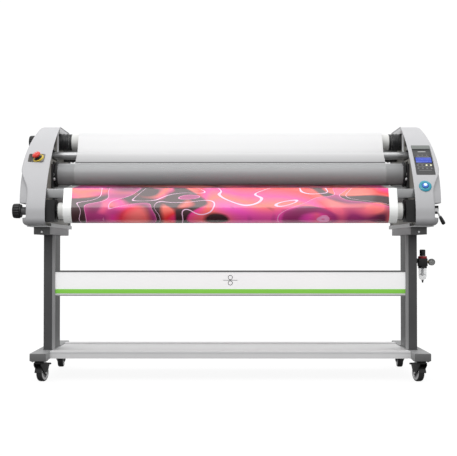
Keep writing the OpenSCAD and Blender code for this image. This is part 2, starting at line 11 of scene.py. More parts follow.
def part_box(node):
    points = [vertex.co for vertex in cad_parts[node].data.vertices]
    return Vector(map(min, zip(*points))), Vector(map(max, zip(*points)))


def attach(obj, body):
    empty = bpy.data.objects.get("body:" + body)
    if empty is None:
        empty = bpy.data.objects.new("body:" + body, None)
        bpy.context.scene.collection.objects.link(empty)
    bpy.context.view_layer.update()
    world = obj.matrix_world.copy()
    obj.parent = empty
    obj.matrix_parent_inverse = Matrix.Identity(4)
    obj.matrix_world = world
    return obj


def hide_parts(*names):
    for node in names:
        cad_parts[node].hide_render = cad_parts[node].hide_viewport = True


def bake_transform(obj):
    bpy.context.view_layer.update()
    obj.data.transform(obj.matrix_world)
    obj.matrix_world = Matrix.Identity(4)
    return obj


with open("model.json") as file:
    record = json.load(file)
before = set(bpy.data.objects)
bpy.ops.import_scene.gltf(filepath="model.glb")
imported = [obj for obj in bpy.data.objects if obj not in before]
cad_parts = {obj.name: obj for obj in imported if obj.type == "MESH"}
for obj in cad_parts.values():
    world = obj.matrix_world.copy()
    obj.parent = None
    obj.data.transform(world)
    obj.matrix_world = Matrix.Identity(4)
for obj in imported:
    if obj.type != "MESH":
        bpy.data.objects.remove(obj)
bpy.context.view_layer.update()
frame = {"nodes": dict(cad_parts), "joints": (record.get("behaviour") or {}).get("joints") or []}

# ---------------------------------------------------------------- camera

CAMERA_BACK = 4.60
CAMERA_HEIGHT = 0.612
LENS = 80.5
foot_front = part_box("left_foot")[0][1]

camera_data = bpy.data.cameras.new("camera")
camera_data.lens = LENS
camera_data.sensor_width = 36.0
camera = bpy.data.objects.new("camera", camera_data)
bpy.context.scene.collection.objects.link(camera)
camera.location = (0.0, foot_front - CAMERA_BACK, CAMERA_HEIGHT)
camera.rotation_euler = (math.radians(91.065), 0.0, math.radians(0.10))
bpy.context.scene.camera = camera
bpy.context.scene.view_settings.view_transform = "Standard"

# ---------------------------------------------------------------- materials


class Nodes:
    """A material's node tree, with short calls for the nodes that are used here."""

    def __init__(self, name):
        self.material = bpy.data.materials.new(name)
        self.material.use_nodes = True
        self.tree = self.material.node_tree
        self.shader = self.tree.nodes["Principled BSDF"]
        self.coords = self.tree.nodes.new("ShaderNodeTexCoord").outputs["Object"]

    def add(self, kind, **values):
        node = self.tree.nodes.new(kind)
        for key, value in values.items():
            if hasattr(node, key):
                setattr(node, key, value)
            else:
                node.inputs[key.replace("_", " ")].default_value = value
        return node

    def link(self, a, b):
        self.tree.links.new(a, b)

    def scaled(self, scale, turn=(0, 0, 0)):
        mapping = self.add("ShaderNodeMapping")
        mapping.inputs["Scale"].default_value = scale
        mapping.inputs["Rotation"].default_value = turn
        self.link(self.coords, mapping.inputs["Vector"])
        return mapping.outputs["Vector"]

    def noise(self, scale, stretch=(1, 1, 1), detail=3.0, rough=0.55):
        node = self.add("ShaderNodeTexNoise")
        node.inputs["Scale"].default_value = scale
        node.inputs["Detail"].default_value = detail
        node.inputs["Roughness"].default_value = rough
        self.link(self.scaled(stretch), node.inputs["Vector"])
        return node.outputs["Fac"]

    def ramp(self, fac, stops):
        node = self.add("ShaderNodeValToRGB")
        elements = node.color_ramp.elements
        while len(elements) < len(stops):
            elements.new(0.5)
        for element, (place, colour) in zip(elements, stops):
            element.position = place
            element.color = (*colour, 1.0)
        self.link(fac, node.inputs["Fac"])
        return node.outputs["Color"]

    def math(self, operation, a, b=None, c=None):
        node = self.add("ShaderNodeMath", operation=operation)
        for socket, value in zip(node.inputs, (a, b, c)):
            if value is None:
                continue
            if isinstance(value, (int, float)):
                socket.default_value = value
            else:
                self.link(value, socket)
        return node.outputs[0]

    def mix(self, fac, a, b):
        node = self.add("ShaderNodeMix", data_type="RGBA")
        for socket, value in ((node.inputs[0], fac), (node.inputs[6], a), (node.inputs[7], b)):
            if isinstance(value, (int, float)):
                socket.default_value = value
            elif isinstance(value, tuple):
                socket.default_value = (*value, 1.0)
            else:
                self.link(value, socket)
        return node.outputs[2]

    def bump(self, height, strength, distance):
        node = self.add("ShaderNodeBump")
        node.inputs["Strength"].default_value = strength
        node.inputs["Distance"].default_value = distance
        self.link(height, node.inputs["Height"])
        self.link(node.outputs["Normal"], self.shader.inputs["Normal"])

    def set(self, **values):
        for key, value in values.items():
            self.shader.inputs[key.replace("_", " ")].default_value = value


def scaled_colour(colour, k):
    return tuple(min(1.0, c * k) for c in colour)


def finish_material(name, colour, rough, metal=0.0, vary=0.06, patch=5.0, grain=900.0,
                    stretch=(1, 1, 1), bump=0.08, depth=0.0004, wear=None, **shader):
    """A painted, moulded or metal finish: uneven colour, grain in the gloss and a fine bump."""
    n = Nodes(name)
    broad = n.noise(patch, detail=4.0)
    fine = n.noise(grain, stretch, detail=2.0)
    tint = n.ramp(broad, [(0.3, scaled_colour(colour, 1 - vary)),
                          (0.7, scaled_colour(colour, 1 + vary))])
    if wear:
        scuff = n.noise(38.0, (1, 1, 1), detail=8.0, rough=0.72)
        mask = n.ramp(scuff, [(0.60, (0, 0, 0)), (0.74, (0.35, 0.35, 0.35))])
        tint = n.mix(mask, tint, wear)
    n.link(tint, n.shader.inputs["Base Color"])
    gloss = n.add("ShaderNodeMapRange")
    gloss.inputs["To Min"].default_value = max(0.02, rough - 0.07)
    gloss.inputs["To Max"].default_value = min(1.0, rough + 0.09)
    n.link(fine, gloss.inputs["Value"])
    n.link(gloss.outputs["Result"], n.shader.inputs["Roughness"])
    n.bump(fine, bump, depth)
    n.set(Metallic=metal, **shader)
    return n.material


ALONG_X = (0.02, 1, 1)

MAT = {
    "cover": finish_material("cover_grey", (0.56, 0.56, 0.575), 0.40, vary=0.025, patch=3.0,
                             grain=700, bump=0.10, depth=0.0003, Specular_IOR_Level=0.45),
    # a lighter copy of the cover grey: painted highlight
    "cover_painted_highlight": finish_material("cover_grey_painted_highlight", (0.78, 0.78, 0.79), 0.36, vary=0.02),
    "cover_inside": finish_material("cover_inside", (0.10, 0.10, 0.105), 0.7, vary=0.08),
    "paint": finish_material("dark_grey_paint", (0.085, 0.085, 0.088), 0.42, vary=0.10, patch=7,
                             grain=1100, bump=0.22, depth=0.0004, wear=(0.20, 0.20, 0.20)),
    "foot": finish_material("foot_paint", (0.36, 0.365, 0.37), 0.40, vary=0.05, grain=1000,
                            bump=0.15),
    # also used for the painted shade along the cross panel's top edge
    "foot_front": finish_material("foot_front_paint", (0.17, 0.17, 0.172), 0.45, vary=0.06,
                                  grain=1000, bump=0.2),
    "saddle_side": finish_material("saddle_side", (0.42, 0.42, 0.43), 0.42, vary=0.05),
    "brushed": finish_material("brushed_aluminium", (0.66, 0.665, 0.67), 0.36, metal=0.55,
                               vary=0.05, patch=2.0, grain=420, stretch=ALONG_X, bump=0.16,
                               depth=0.0003),
    "alu_bright": finish_material("bright_aluminium", (0.90, 0.90, 0.905), 0.42, metal=0.08,
                                  vary=0.035, patch=2.0, grain=420, stretch=ALONG_X, bump=0.12,
                                  depth=0.0003),
    # The panel glows a little (emission 0.34): painted light that brightens it
    "alu_panel_painted_glow": finish_material("panel_aluminium_painted_glow", (0.93, 0.93, 0.935), 0.45, metal=0.04,
                                 vary=0.03, patch=2.0, grain=420, stretch=ALONG_X, bump=0.12,
                                 depth=0.0003, Emission_Color=(1.0, 1.0, 1.0, 1.0),
                                 Emission_Strength=0.34),
    "bar": finish_material("guide_bar_metal", (0.50, 0.505, 0.51), 0.30, metal=0.75, vary=0.05,
                           grain=420, stretch=ALONG_X, bump=0.12, depth=0.0003),
    "tray": finish_material("tray_metal", (0.58, 0.585, 0.59), 0.33, metal=0.6, vary=0.05,
                            grain=500, stretch=(1, 0.02, 1), bump=0.12),
    "plate": finish_material("side_plate_steel", (0.33, 0.32, 0.29), 0.42, metal=0.35, vary=0.08,
                             grain=600, bump=0.2, wear=(0.5, 0.49, 0.46)),
    "steel": finish_material("turned_steel", (0.56, 0.565, 0.57), 0.28, metal=0.95, vary=0.05,
                             grain=900, stretch=(1, 0.05, 0.05), bump=0.15),
    "chrome": finish_material("chrome_plate", (0.82, 0.82, 0.83), 0.12, metal=1.0, vary=0.02),
    "black": finish_material("black_moulding", (0.016, 0.016, 0.017), 0.38, vary=0.15, patch=20,
                             grain=1300, bump=0.18, depth=0.0003, wear=(0.06, 0.06, 0.06)),
    "black_gloss": finish_material("black_gloss", (0.012, 0.012, 0.013), 0.22, vary=0.10),
    "tread": finish_material("tread_rubber", (0.022, 0.022, 0.023), 0.62, vary=0.15, patch=30,
                             grain=1500, bump=0.35, wear=(0.07, 0.068, 0.065)),
    "silicone": finish_material("grey_silicone", (0.31, 0.315, 0.32), 0.34, vary=0.03, patch=1.5,
                                grain=900, stretch=(0.2, 1, 1), bump=0.05,
                                Specular_IOR_Level=0.6),
    "core": finish_material("core_card", (0.80, 0.80, 0.78), 0.55, vary=0.05, grain=500,
                            bump=0.2),
    "film": finish_material("white_film", (0.87, 0.87, 0.875), 0.30, vary=0.015, patch=1.5,
                            grain=300, stretch=(0.1, 1, 1), bump=0.03, Specular_IOR_Level=0.5),
    "panel": finish_material("panel_membrane", (0.055, 0.055, 0.057), 0.45, vary=0.06,
                             grain=1600, bump=0.2, depth=0.0002),
    "panel_mark": finish_material("panel_mark", (0.34, 0.34, 0.35), 0.5, vary=0.03),
    "panel_name": finish_material("panel_name_bar", (0.55, 0.55, 0.54), 0.5, vary=0.10, grain=300),
    "teal": finish_material("dial_teal", (0.015, 0.33, 0.45), 0.28, vary=0.05,
                            Coat_Weight=0.5),
    "blue": finish_material("dial_blue", (0.06, 0.22, 0.80), 0.25, vary=0.05, Coat_Weight=0.6),
    "yellow": finish_material("stop_yellow", (0.80, 0.60, 0.06), 0.4, vary=0.05),
    "red": finish_material("stop_red", (0.78, 0.035, 0.018), 0.30, vary=0.05, Coat_Weight=0.4),
    "red_band": finish_material("regulator_red", (0.42, 0.02, 0.03), 0.4, vary=0.06),
    # The stripe glows a little: painted light
    "green": finish_material("stripe_green_painted_glow", (0.32, 0.80, 0.10), 0.42, vary=0.03, grain=420,
                             stretch=ALONG_X, bump=0.08, Emission_Color=(0.25, 0.80, 0.08, 1.0),
                             Emission_Strength=0.12),
    "pale": finish_material("stripe_pale", (0.90, 0.91, 0.89), 0.45, vary=0.02),
    # print grey also draws the painted shadow band across the laminate span
    "mark": finish_material("print_grey_and_painted_shadow", (0.11, 0.11, 0.115), 0.5, vary=0.04),
    # post rail grey is partly the bead's own colour, partly a painted highlight
    "rail": finish_material("post_rail_and_painted_highlight", (0.36, 0.36, 0.365), 0.42, vary=0.06),
    "gauge_face": finish_material("gauge_face", (0.06, 0.065, 0.06), 0.4, vary=0.05),
    # recess grey is painted shade: the cover moulding drawn darker inside the stop's recess
    "recess": finish_material("recess_painted_shade_grey", (0.24, 0.235, 0.23), 0.5, vary=0.05),
    # a dark strip standing in for the recess's shaded top wall: painted shade
    "painted_shade_strip": finish_material("panel_painted_shade_strip", (0.20, 0.215, 0.205), 0.45, vary=0.05),
    "neck": finish_material("knob_neck_grey", (0.13, 0.13, 0.132), 0.45, vary=0.08),
    # the liner's grey stands in for its shaded underside: painted shade
    "liner": finish_material("release_liner_painted_shade", (0.30, 0.30, 0.30), 0.5, vary=0.04),
    "brass": finish_material("brass_fitting", (0.62, 0.46, 0.20), 0.3, metal=0.9, vary=0.05),
}


def glow_material(name, colour, strength):
    n = Nodes(name)
    fine = n.noise(900.0)
    n.link(n.ramp(fine, [(0.2, scaled_colour(colour, 0.85)), (0.8, colour)]),
           n.shader.inputs["Base Color"])
    n.set(Roughness=0.3, Emission_Color=(*colour, 1.0), Emission_Strength=strength)
    return n.material


def clear_material(name, colour, alpha, rough):
    n = Nodes(name)
    haze = n.noise(3.0, (0.3, 1, 1))
    n.link(n.ramp(haze, [(0.2, scaled_colour(colour, 0.96)), (0.8, colour)]),
           n.shader.inputs["Base Color"])
    n.set(Roughness=rough, Alpha=alpha, Specular_IOR_Level=0.7)
    n.material.blend_method = "BLEND"
    return n.material


def film_web_painted_shade_material():
    """Film painted from white to grey as it comes down to the roller: painted shade on the web, with the
    film also milky below the idler.
    """
    n = Nodes("film_web")
    z = n.add("ShaderNodeSeparateXYZ")
    n.link(n.coords, z.inputs[0])
    # drop makes the colour darker towards the bottom: painted shade
    drop = n.add("ShaderNodeMapRange")
    drop.inputs["From Min"].default_value = 1.012
    drop.inputs["From Max"].default_value = 1.092
    n.link(n.math("ADD", z.outputs["Z"], n.math("MULTIPLY", n.noise(2.0, (1, 1, 1)), 0.004)),
           drop.inputs["Value"])
    n.link(n.ramp(drop.outputs["Result"], [(0.0, (0.42, 0.42, 0.425)), (0.45, (0.60, 0.60, 0.605)),
                                           (0.8, (0.84, 0.84, 0.845)), (1.0, (0.88, 0.88, 0.885))]),
           n.shader.inputs["Base Color"])
    n.bump(n.noise(300.0, (0.1, 1, 1)), 0.03, 0.0003)
    n.set(Roughness=0.30, Specular_IOR_Level=0.5)
    return n.material


def screen_material():
    """The blue display, with rows of darker cells."""
    n = Nodes("display_blue")
    x = n.add("ShaderNodeSeparateXYZ")
    n.link(n.coords, x.inputs[0])
    cell = n.math("SINE", n.math("MULTIPLY", x.outputs["X"], 900.0))
    row = n.math("SINE", n.math("MULTIPLY", x.outputs["Z"], 620.0))
    both = n.math("MULTIPLY", n.math("GREATER_THAN", cell, 0.2), n.math("GREATER_THAN", row, 0.1))
    blob = n.math("GREATER_THAN", n.noise(240.0, detail=0.0), 0.47)
    fac = n.math("MULTIPLY", both, blob)
    colour = n.mix(fac, (0.030, 0.060, 0.42), (0.10, 0.17, 0.62))
    n.link(colour, n.shader.inputs["Base Color"])
    n.link(colour, n.shader.inputs["Emission Color"])
    n.set(Roughness=0.2, Emission_Strength=0.35)
    return n.material


def media_material(half_print):
    """White-bordered printed media: a generic abstract of warm, wavy shapes."""
    n = Nodes("printed_media")
    axes = n.add("ShaderNodeSeparateXYZ")
    n.link(n.coords, axes.inputs[0])
    x = axes.outputs["X"]
    # The height on the roll plus the depth on the web is the place along the sheet
    along = n.math("ADD", axes.outputs["Z"], axes.outputs["Y"])
    flat = n.add("ShaderNodeCombineXYZ")
    n.link(x, flat.inputs[0])
    n.link(n.math("MULTIPLY", along, 1.6), flat.inputs[1])

    def shape(kind, scale, offset, detail=2.0, distort=0.0):
        shift = n.add("ShaderNodeMapping")
        shift.inputs["Location"].default_value = offset
        n.link(flat.outputs[0], shift.inputs["Vector"])
        node = n.add(kind)
        node.inputs["Scale"].default_value = scale
        if "Detail" in node.inputs:
            node.inputs["Detail"].default_value = detail
        if "Distortion" in node.inputs:
            node.inputs["Distortion"].default_value = distort
        n.link(shift.outputs["Vector"], node.inputs["Vector"])
        return node

    warm = shape("ShaderNodeTexNoise", 2.2, (1.3, 0.4, 0.0), 1.0, 0.5).outputs["Fac"]
    base = n.ramp(warm, [(0.36, (0.95, 0.17, 0.13)), (0.44, (0.88, 0.02, 0.03)),
                         (0.52, (0.86, 0.02, 0.30)), (0.58, (0.95, 0.15, 0.10)), (0.66, (0.86, 0.05, 0.50))])
    dark = shape("ShaderNodeTexNoise", 4.4, (0.2, 2.1, 0.0), 0.0, 1.6).outputs["Fac"]
    deep = n.ramp(dark, [(0.50, (0, 0, 0)), (0.62, (1, 1, 1))])
    base = n.mix(deep, base, (0.045, 0.008, 0.014))
    # Petal outlines follow the level lines of a slow, curled noise
    petals = shape("ShaderNodeTexNoise", 2.3, (0.11, 0.77, 0.0), 0.0, 1.8).outputs["Fac"]
    for level, width, tone in ((0.46, 0.0045, (1.0, 0.62, 0.86)), (0.57, 0.0035, (1.0, 0.45, 0.72))):
        away = n.math("ABSOLUTE", n.math("SUBTRACT", petals, level))
        line = n.ramp(n.math("DIVIDE", away, width * 4), [(0.20, (1, 1, 1)), (0.32, (0, 0, 0))])
        base = n.mix(line, base, tone)
    inner_tone = n.ramp(petals, [(0.565, (0, 0, 0)), (0.575, (0.5, 0.5, 0.5)),
                                 (0.75, (0.1, 0.1, 0.1))])
    base = n.mix(inner_tone, base, (0.90, 0.05, 0.40))
    inside = n.math("LESS_THAN", n.math("ABSOLUTE", x), half_print)
    colour = n.mix(inside, (0.90, 0.91, 0.90), base)
    n.link(colour, n.shader.inputs["Base Color"])
    # The print and its white border also glow a little (emission 0.22): painted light
    n.link(colour, n.shader.inputs["Emission Color"])
    fine = n.noise(260.0, (0.1, 1, 1))
    n.bump(fine, 0.05, 0.0003)
    n.set(Roughness=0.22, Specular_IOR_Level=0.7, Coat_Weight=0.8, Coat_Roughness=0.05,
          Emission_Strength=0.22)
    return n.material


MAT["web"] = film_web_painted_shade_material()
MAT["lcd"] = screen_material()
MAT["key_lit"] = glow_material("key_lit", (0.90, 0.90, 0.60), 0.35)
MAT["key_dim"] = finish_material("key_dim", (0.20, 0.20, 0.21), 0.5)
MAT["dial_light"] = glow_material("dial_light", (0.62, 0.80, 1.0), 0.75)
MAT["clear_film"] = clear_material("clear_film", (0.94, 0.95, 0.96), 0.24, 0.20)
MAT["bowl"] = clear_material("clear_bowl", (0.90, 0.92, 0.94), 0.32, 0.12)
MAT["gauge_glass"] = clear_material("gauge_glass", (0.9, 0.9, 0.9), 0.25, 0.05)

# ---------------------------------------------------------------- mesh helpers


def sharpen(bm, angle):
    for face in bm.faces:
        face.smooth = True
    limit = math.radians(angle)
    for edge in bm.edges:
        if len(edge.link_faces) == 2 and edge.calc_face_angle(0.0) > limit:
            edge.smooth = False


def to_object(bm, name, material, body, nodes=(), slot=None, angle=34.0):
    """Finishes a bmesh as a piece that rides on a body."""
    bmesh.ops.recalc_face_normals(bm, faces=bm.faces)
    sharpen(bm, angle)
    mesh = bpy.data.meshes.new(name)
    bm.to_mesh(mesh)
    bm.free()
    piece = bpy.data.objects.new(name, mesh)
    bpy.context.scene.collection.objects.link(piece)
    piece.data.materials.append(MAT[material] if isinstance(material, str) else material)
    if body:
        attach(piece, body)
    if nodes:
        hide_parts(*nodes)
    return piece


def basis(direction, up=(0, 0, 1)):
    """A rotation whose +Z is the direction."""
    z = Vector(direction).normalized()
    u = Vector(up)
    if abs(z.dot(u)) > 0.95:
        u = Vector((0, 1, 0))
    x = u.cross(z).normalized()
    y = z.cross(x)
    return Matrix((x, y, z)).transposed().to_4x4()


def frame_at(origin, direction, up=(0, 0, 1)):
    return Matrix.Translation(Vector(origin)) @ basis(direction, up)


def lathe_into(bm, place, profile, segments=64, flutes=None, close=True):
    """Turns a profile of (height, radius) about the place's +Z.
    flutes is (count, depth, from height, to height)."""
    rings = []
    for h, r in profile:
        if r < 1e-6:
            rings.append([bm.verts.new(place @ Vector((0, 0, h)))])
            continue
        ring = []
        for i in range(segments):
            a = 2 * math.pi * i / segments
            radius = r
            if flutes and flutes[2] <= h <= flutes[3]:
                radius = r - flutes[1] * max(0.0, math.cos(flutes[0] * a)) ** 2
            spot = Vector((radius * math.cos(a), radius * math.sin(a), h))
            ring.append(bm.verts.new(place @ spot))
        rings.append(ring)
    for a, b in zip(rings, rings[1:]):
        for i in range(segments):
            j = (i + 1) % segments
            if len(a) == 1 and len(b) == 1:
                continue
            if len(a) == 1:
                bm.faces.new((a[0], b[i], b[j]))
            elif len(b) == 1:
                bm.faces.new((a[i], a[j], b[0]))
            else:
                bm.faces.new((a[i], a[j], b[j], b[i]))
    if close:
        for ring in (rings[0], rings[-1]):
            if len(ring) > 1:
                bm.faces.new(ring)


def lathe(name, place, profile, material, body, segments=64, flutes=None, close=True, **kw):
    bm = bmesh.new()
    lathe_into(bm, place, profile, segments, flutes, close)
    return to_object(bm, name, material, body, **kw)


def tube_profile(x0, x1, r, bore, chamfer=0.0015):
    """Profile of a tube with eased ends; the first and last points meet at the bore."""
    return [(x0 + chamfer, bore), (x0, bore + chamfer), (x0, r - chamfer), (x0 + chamfer, r),
            (x1 - chamfer, r), (x1, r - chamfer), (x1, bore + chamfer), (x1 - chamfer, bore),
            (x0 + chamfer, bore)]


def box_into(bm, lo, hi, edge=0.0015, segments=2, place=None):
    """Adds a box with rounded edges."""
    lo, hi = Vector(lo), Vector(hi)
    made = bmesh.ops.create_cube(bm, size=1.0)
    verts = made["verts"]
    for v in verts:
        v.co = Vector([(lo[k] + hi[k]) / 2 + v.co[k] * (hi[k] - lo[k]) for k in range(3)])
    edges = list({e for v in verts for e in v.link_edges})
    if edge > 0:
        made = bmesh.ops.bevel(bm, geom=edges, offset=edge, segments=segments, profile=0.6,
                               affect="EDGES")
        verts = list({v for f in made["faces"] for v in f.verts} | {v for v in verts if v.is_valid})
    if place:
        for v in verts:
            v.co = place @ v.co


def boxes(name, parts, material, body, edge=0.0015, place=None, **kw):
    bm = bmesh.new()
    for lo, hi in parts:
        box_into(bm, lo, hi, edge, place=place)
    return to_object(bm, name, material, body, **kw)


def prism_into(bm, outline, depth0, depth1, place, edge=0.0):
    """Extrudes a flat outline of (u, v) along the place's +Z."""
    low = [bm.verts.new(place @ Vector((u, v, depth0))) for u, v in outline]
    high = [bm.verts.new(place @ Vector((u, v, depth1))) for u, v in outline]
    faces = [bm.faces.new(low), bm.faces.new(high)]
    count = len(outline)
    for i in range(count):
        j = (i + 1) % count
        faces.append(bm.faces.new((low[i], low[j], high[j], high[i])))
    if edge:
        edges = list({e for f in faces[:2] for e in f.edges})
        bmesh.ops.bevel(bm, geom=edges, offset=edge, segments=2, profile=0.6, affect="EDGES")


def prism(name, outline, depth0, depth1, place, material, body, edge=0.0, **kw):
    bm = bmesh.new()
    prism_into(bm, outline, depth0, depth1, place, edge)
    return to_object(bm, name, material, body, **kw)


def rounded_rect(w, h, r, steps=5):
    points = []
    for cx, cy, a0 in ((w / 2 - r, h / 2 - r, 0), (-w / 2 + r, h / 2 - r, 90),
                       (-w / 2 + r, -h / 2 + r, 180), (w / 2 - r, -h / 2 + r, 270)):
        for i in range(steps + 1):
            a = math.radians(a0 + 90 * i / steps)
            points.append((cx + r * math.cos(a), cy + r * math.sin(a)))
    return points


def circle_outline(r, count=32):
    return [(r * math.cos(2 * math.pi * i / count), r * math.sin(2 * math.pi * i / count))
            for i in range(count)]


def strip_mesh(name, path, x0, x1, material, body, columns=8, **kw):
    """A thin sheet along X that follows a path of (y, z)."""
    bm = bmesh.new()
    rows = []
    for y, z in path:
        rows.append([bm.verts.new((x0 + (x1 - x0) * i / columns, y, z))
                     for i in range(columns + 1)])
    for a, b in zip(rows, rows[1:]):
        for i in range(columns):
            bm.faces.new((a[i], a[i + 1], b[i + 1], b[i]))
    return to_object(bm, name, material, body, **kw)


def cap_screw_into(bm, origin, direction, r=0.0045, h=0.004):
    place = frame_at(origin, direction)
    lathe_into(bm, place, [(0, r), (h * 0.8, r), (h, r * 0.88), (h, r * 0.5), (h * 0.45, r * 0.46),
                           (h * 0.45, 0.0)], segments=18)


def screws(name, places, body, material="chrome", slot="steel", r=0.0045, h=0.004):
    bm = bmesh.new()
    for origin, direction in places:
        cap_screw_into(bm, origin, direction, r, h)
    return to_object(bm, name, material, body, slot=slot)


def arc(centre, r, a0, a1, steps):
    return [(centre[0] + r * math.cos(math.radians(a0 + (a1 - a0) * i / steps)),
             centre[1] + r * math.sin(math.radians(a0 + (a1 - a0) * i / steps)))
            for i in range(steps + 1)]


def bezier(p, t):
    k = ((1 - t) ** 3, 3 * t * (1 - t) ** 2, 3 * t * t * (1 - t), t ** 3)
    return tuple(sum(c * q[i] for c, q in zip(k, p)) for i in range(2))


def joint(name):
    return next(j for j in frame["joints"] if j["name"] == name)


def axis_yz(name):
    return tuple(joint(name)["pos_m"][1:])


def smoothstep(a, b, v):
    t = max(0.0, min(1.0, (v - a) / (b - a)))
    return t * t * (3 - 2 * t)


X_AXIS = (1, 0, 0)
SIDES = (("left", -1), ("right", 1))

# ---------------------------------------------------------------- key places

COVER_LO, COVER_HI = (Vector(v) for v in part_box("right_cover"))
INNER = COVER_LO[0]
TOP = COVER_HI[2]
BOTTOM = COVER_LO[2]
FRONT = COVER_LO[1]
BACK = COVER_HI[1]
FILM = axis_yz("film_spin")
LINER = axis_yz("liner_spin")
MEDIA = axis_yz("media_spin")
IDLER = axis_yz("idler_spin")
TOP_ROLLER = axis_yz("top_roller_spin")
LOW_ROLLER = axis_yz("lower_roller_spin")
FILM_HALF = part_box("film_roll")[1][0]
MEDIA_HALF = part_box("media_roll")[1][0]
PRINT_HALF = MEDIA_HALF - 0.038
MAT["media"] = media_material(PRINT_HALF)


def radius_of(node):
    lo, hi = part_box(node)
    return (hi[1] - lo[1]) / 2


FILM_R = radius_of("film_roll")
MEDIA_R = radius_of("media_roll")
ROLLER_R = radius_of("top_roller")
IDLER_R = radius_of("idler_tube")
ROLLER_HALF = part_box("top_roller")[1][0]


def x_rod(axis, x0=0.0):
    return frame_at((x0, *axis), X_AXIS)


# ---------------------------------------------------------------- end covers

FRONT_CURVE = ((FRONT, 0.777), (-0.3405, 0.925), (-0.1605, 1.110), (0.0445, TOP))
FOOT_CURVE = ((-0.330, BOTTOM), (-0.352, BOTTOM), (FRONT, 0.718), (FRONT, 0.741))
REAR_CURVE = ((0.321, TOP), (0.352, 1.160), (BACK, 1.020), (BACK, 0.930))
EDGE_X = INNER + 0.086
STEP_LOW, STEP_HIGH = 0.800, 0.811
LOBE_X, LOBE_TOP, LOBE_R = EDGE_X + 0.021, 0.744, 0.020
SIDE_CURVE = ((EDGE_X + 0.0042, TOP), (EDGE_X + 0.0311, 1.120), (EDGE_X + 0.0504, 1.010),
              (EDGE_X + 0.0349, 0.800))


def solve_z(curve, z, index=0):
    lo, hi = 0.0, 1.0
    rising = curve[3][1] > curve[0][1]
    for _ in range(40):
        mid = (lo + hi) / 2
        if (bezier(curve, mid)[1] < z) == rising:
            lo = mid
        else:
            hi = mid
    return bezier(curve, (lo + hi) / 2)[index]


def front_y(z):
    if z < FOOT_CURVE[3][1]:
        return solve_z(FOOT_CURVE, z)
    if z < FRONT_CURVE[0][1]:
        return FRONT
    return solve_z(FRONT_CURVE, z)


def rear_y(z):
    return BACK if z < REAR_CURVE[3][1] else solve_z(REAR_CURVE, z)


def bulge_x(z):
    """How far the cover's side reaches out at height z."""
    if z < STEP_LOW:
        return LOBE_X + (EDGE_X - LOBE_X) * smoothstep(LOBE_TOP - 0.001, LOBE_TOP + 0.002, z)
    full = solve_z(SIDE_CURVE, z)
    return EDGE_X + (full - EDGE_X) * smoothstep(STEP_LOW, STEP_HIGH, z)


def bottom_round(z):
    low = min(LOBE_R, max(0.0, LOBE_R - (z - BOTTOM)))
    return LOBE_R - math.sqrt(LOBE_R ** 2 - low ** 2)


def edge_x(z):
    """Where the cover's front face ends and turns into its side."""
    if z < STEP_LOW:
        return EDGE_X - bottom_round(z)
    return EDGE_X + (bulge_x(z) - EDGE_X) * smoothstep(0.855, 0.975, z)


def cover_rows():
    rows = [BOTTOM + 0.030 * (1 - math.cos(math.pi / 2 * i / 7)) for i in range(8)]
    rows += [0.7405, LOBE_TOP - 0.001, LOBE_TOP, LOBE_TOP + 0.001, LOBE_TOP + 0.002]
    rows += [0.750, 0.765, 0.780, 0.790, 0.798, STEP_LOW, 0.802, 0.804, 0.8065, 0.809, STEP_HIGH,
             0.813, 0.818]
    count = 44
    start, stop = 0.826, TOP - 0.010
    rows += [start + (stop - start) * i / count for i in range(count + 1)]
    rows += [0.915, 0.918, 0.922, 0.926, 0.930, 0.935]
    rows += [TOP - 0.010 + 0.010 * math.sin(math.pi / 2 * i / 6) for i in range(1, 7)]
    return sorted(set(round(r, 6) for r in rows))


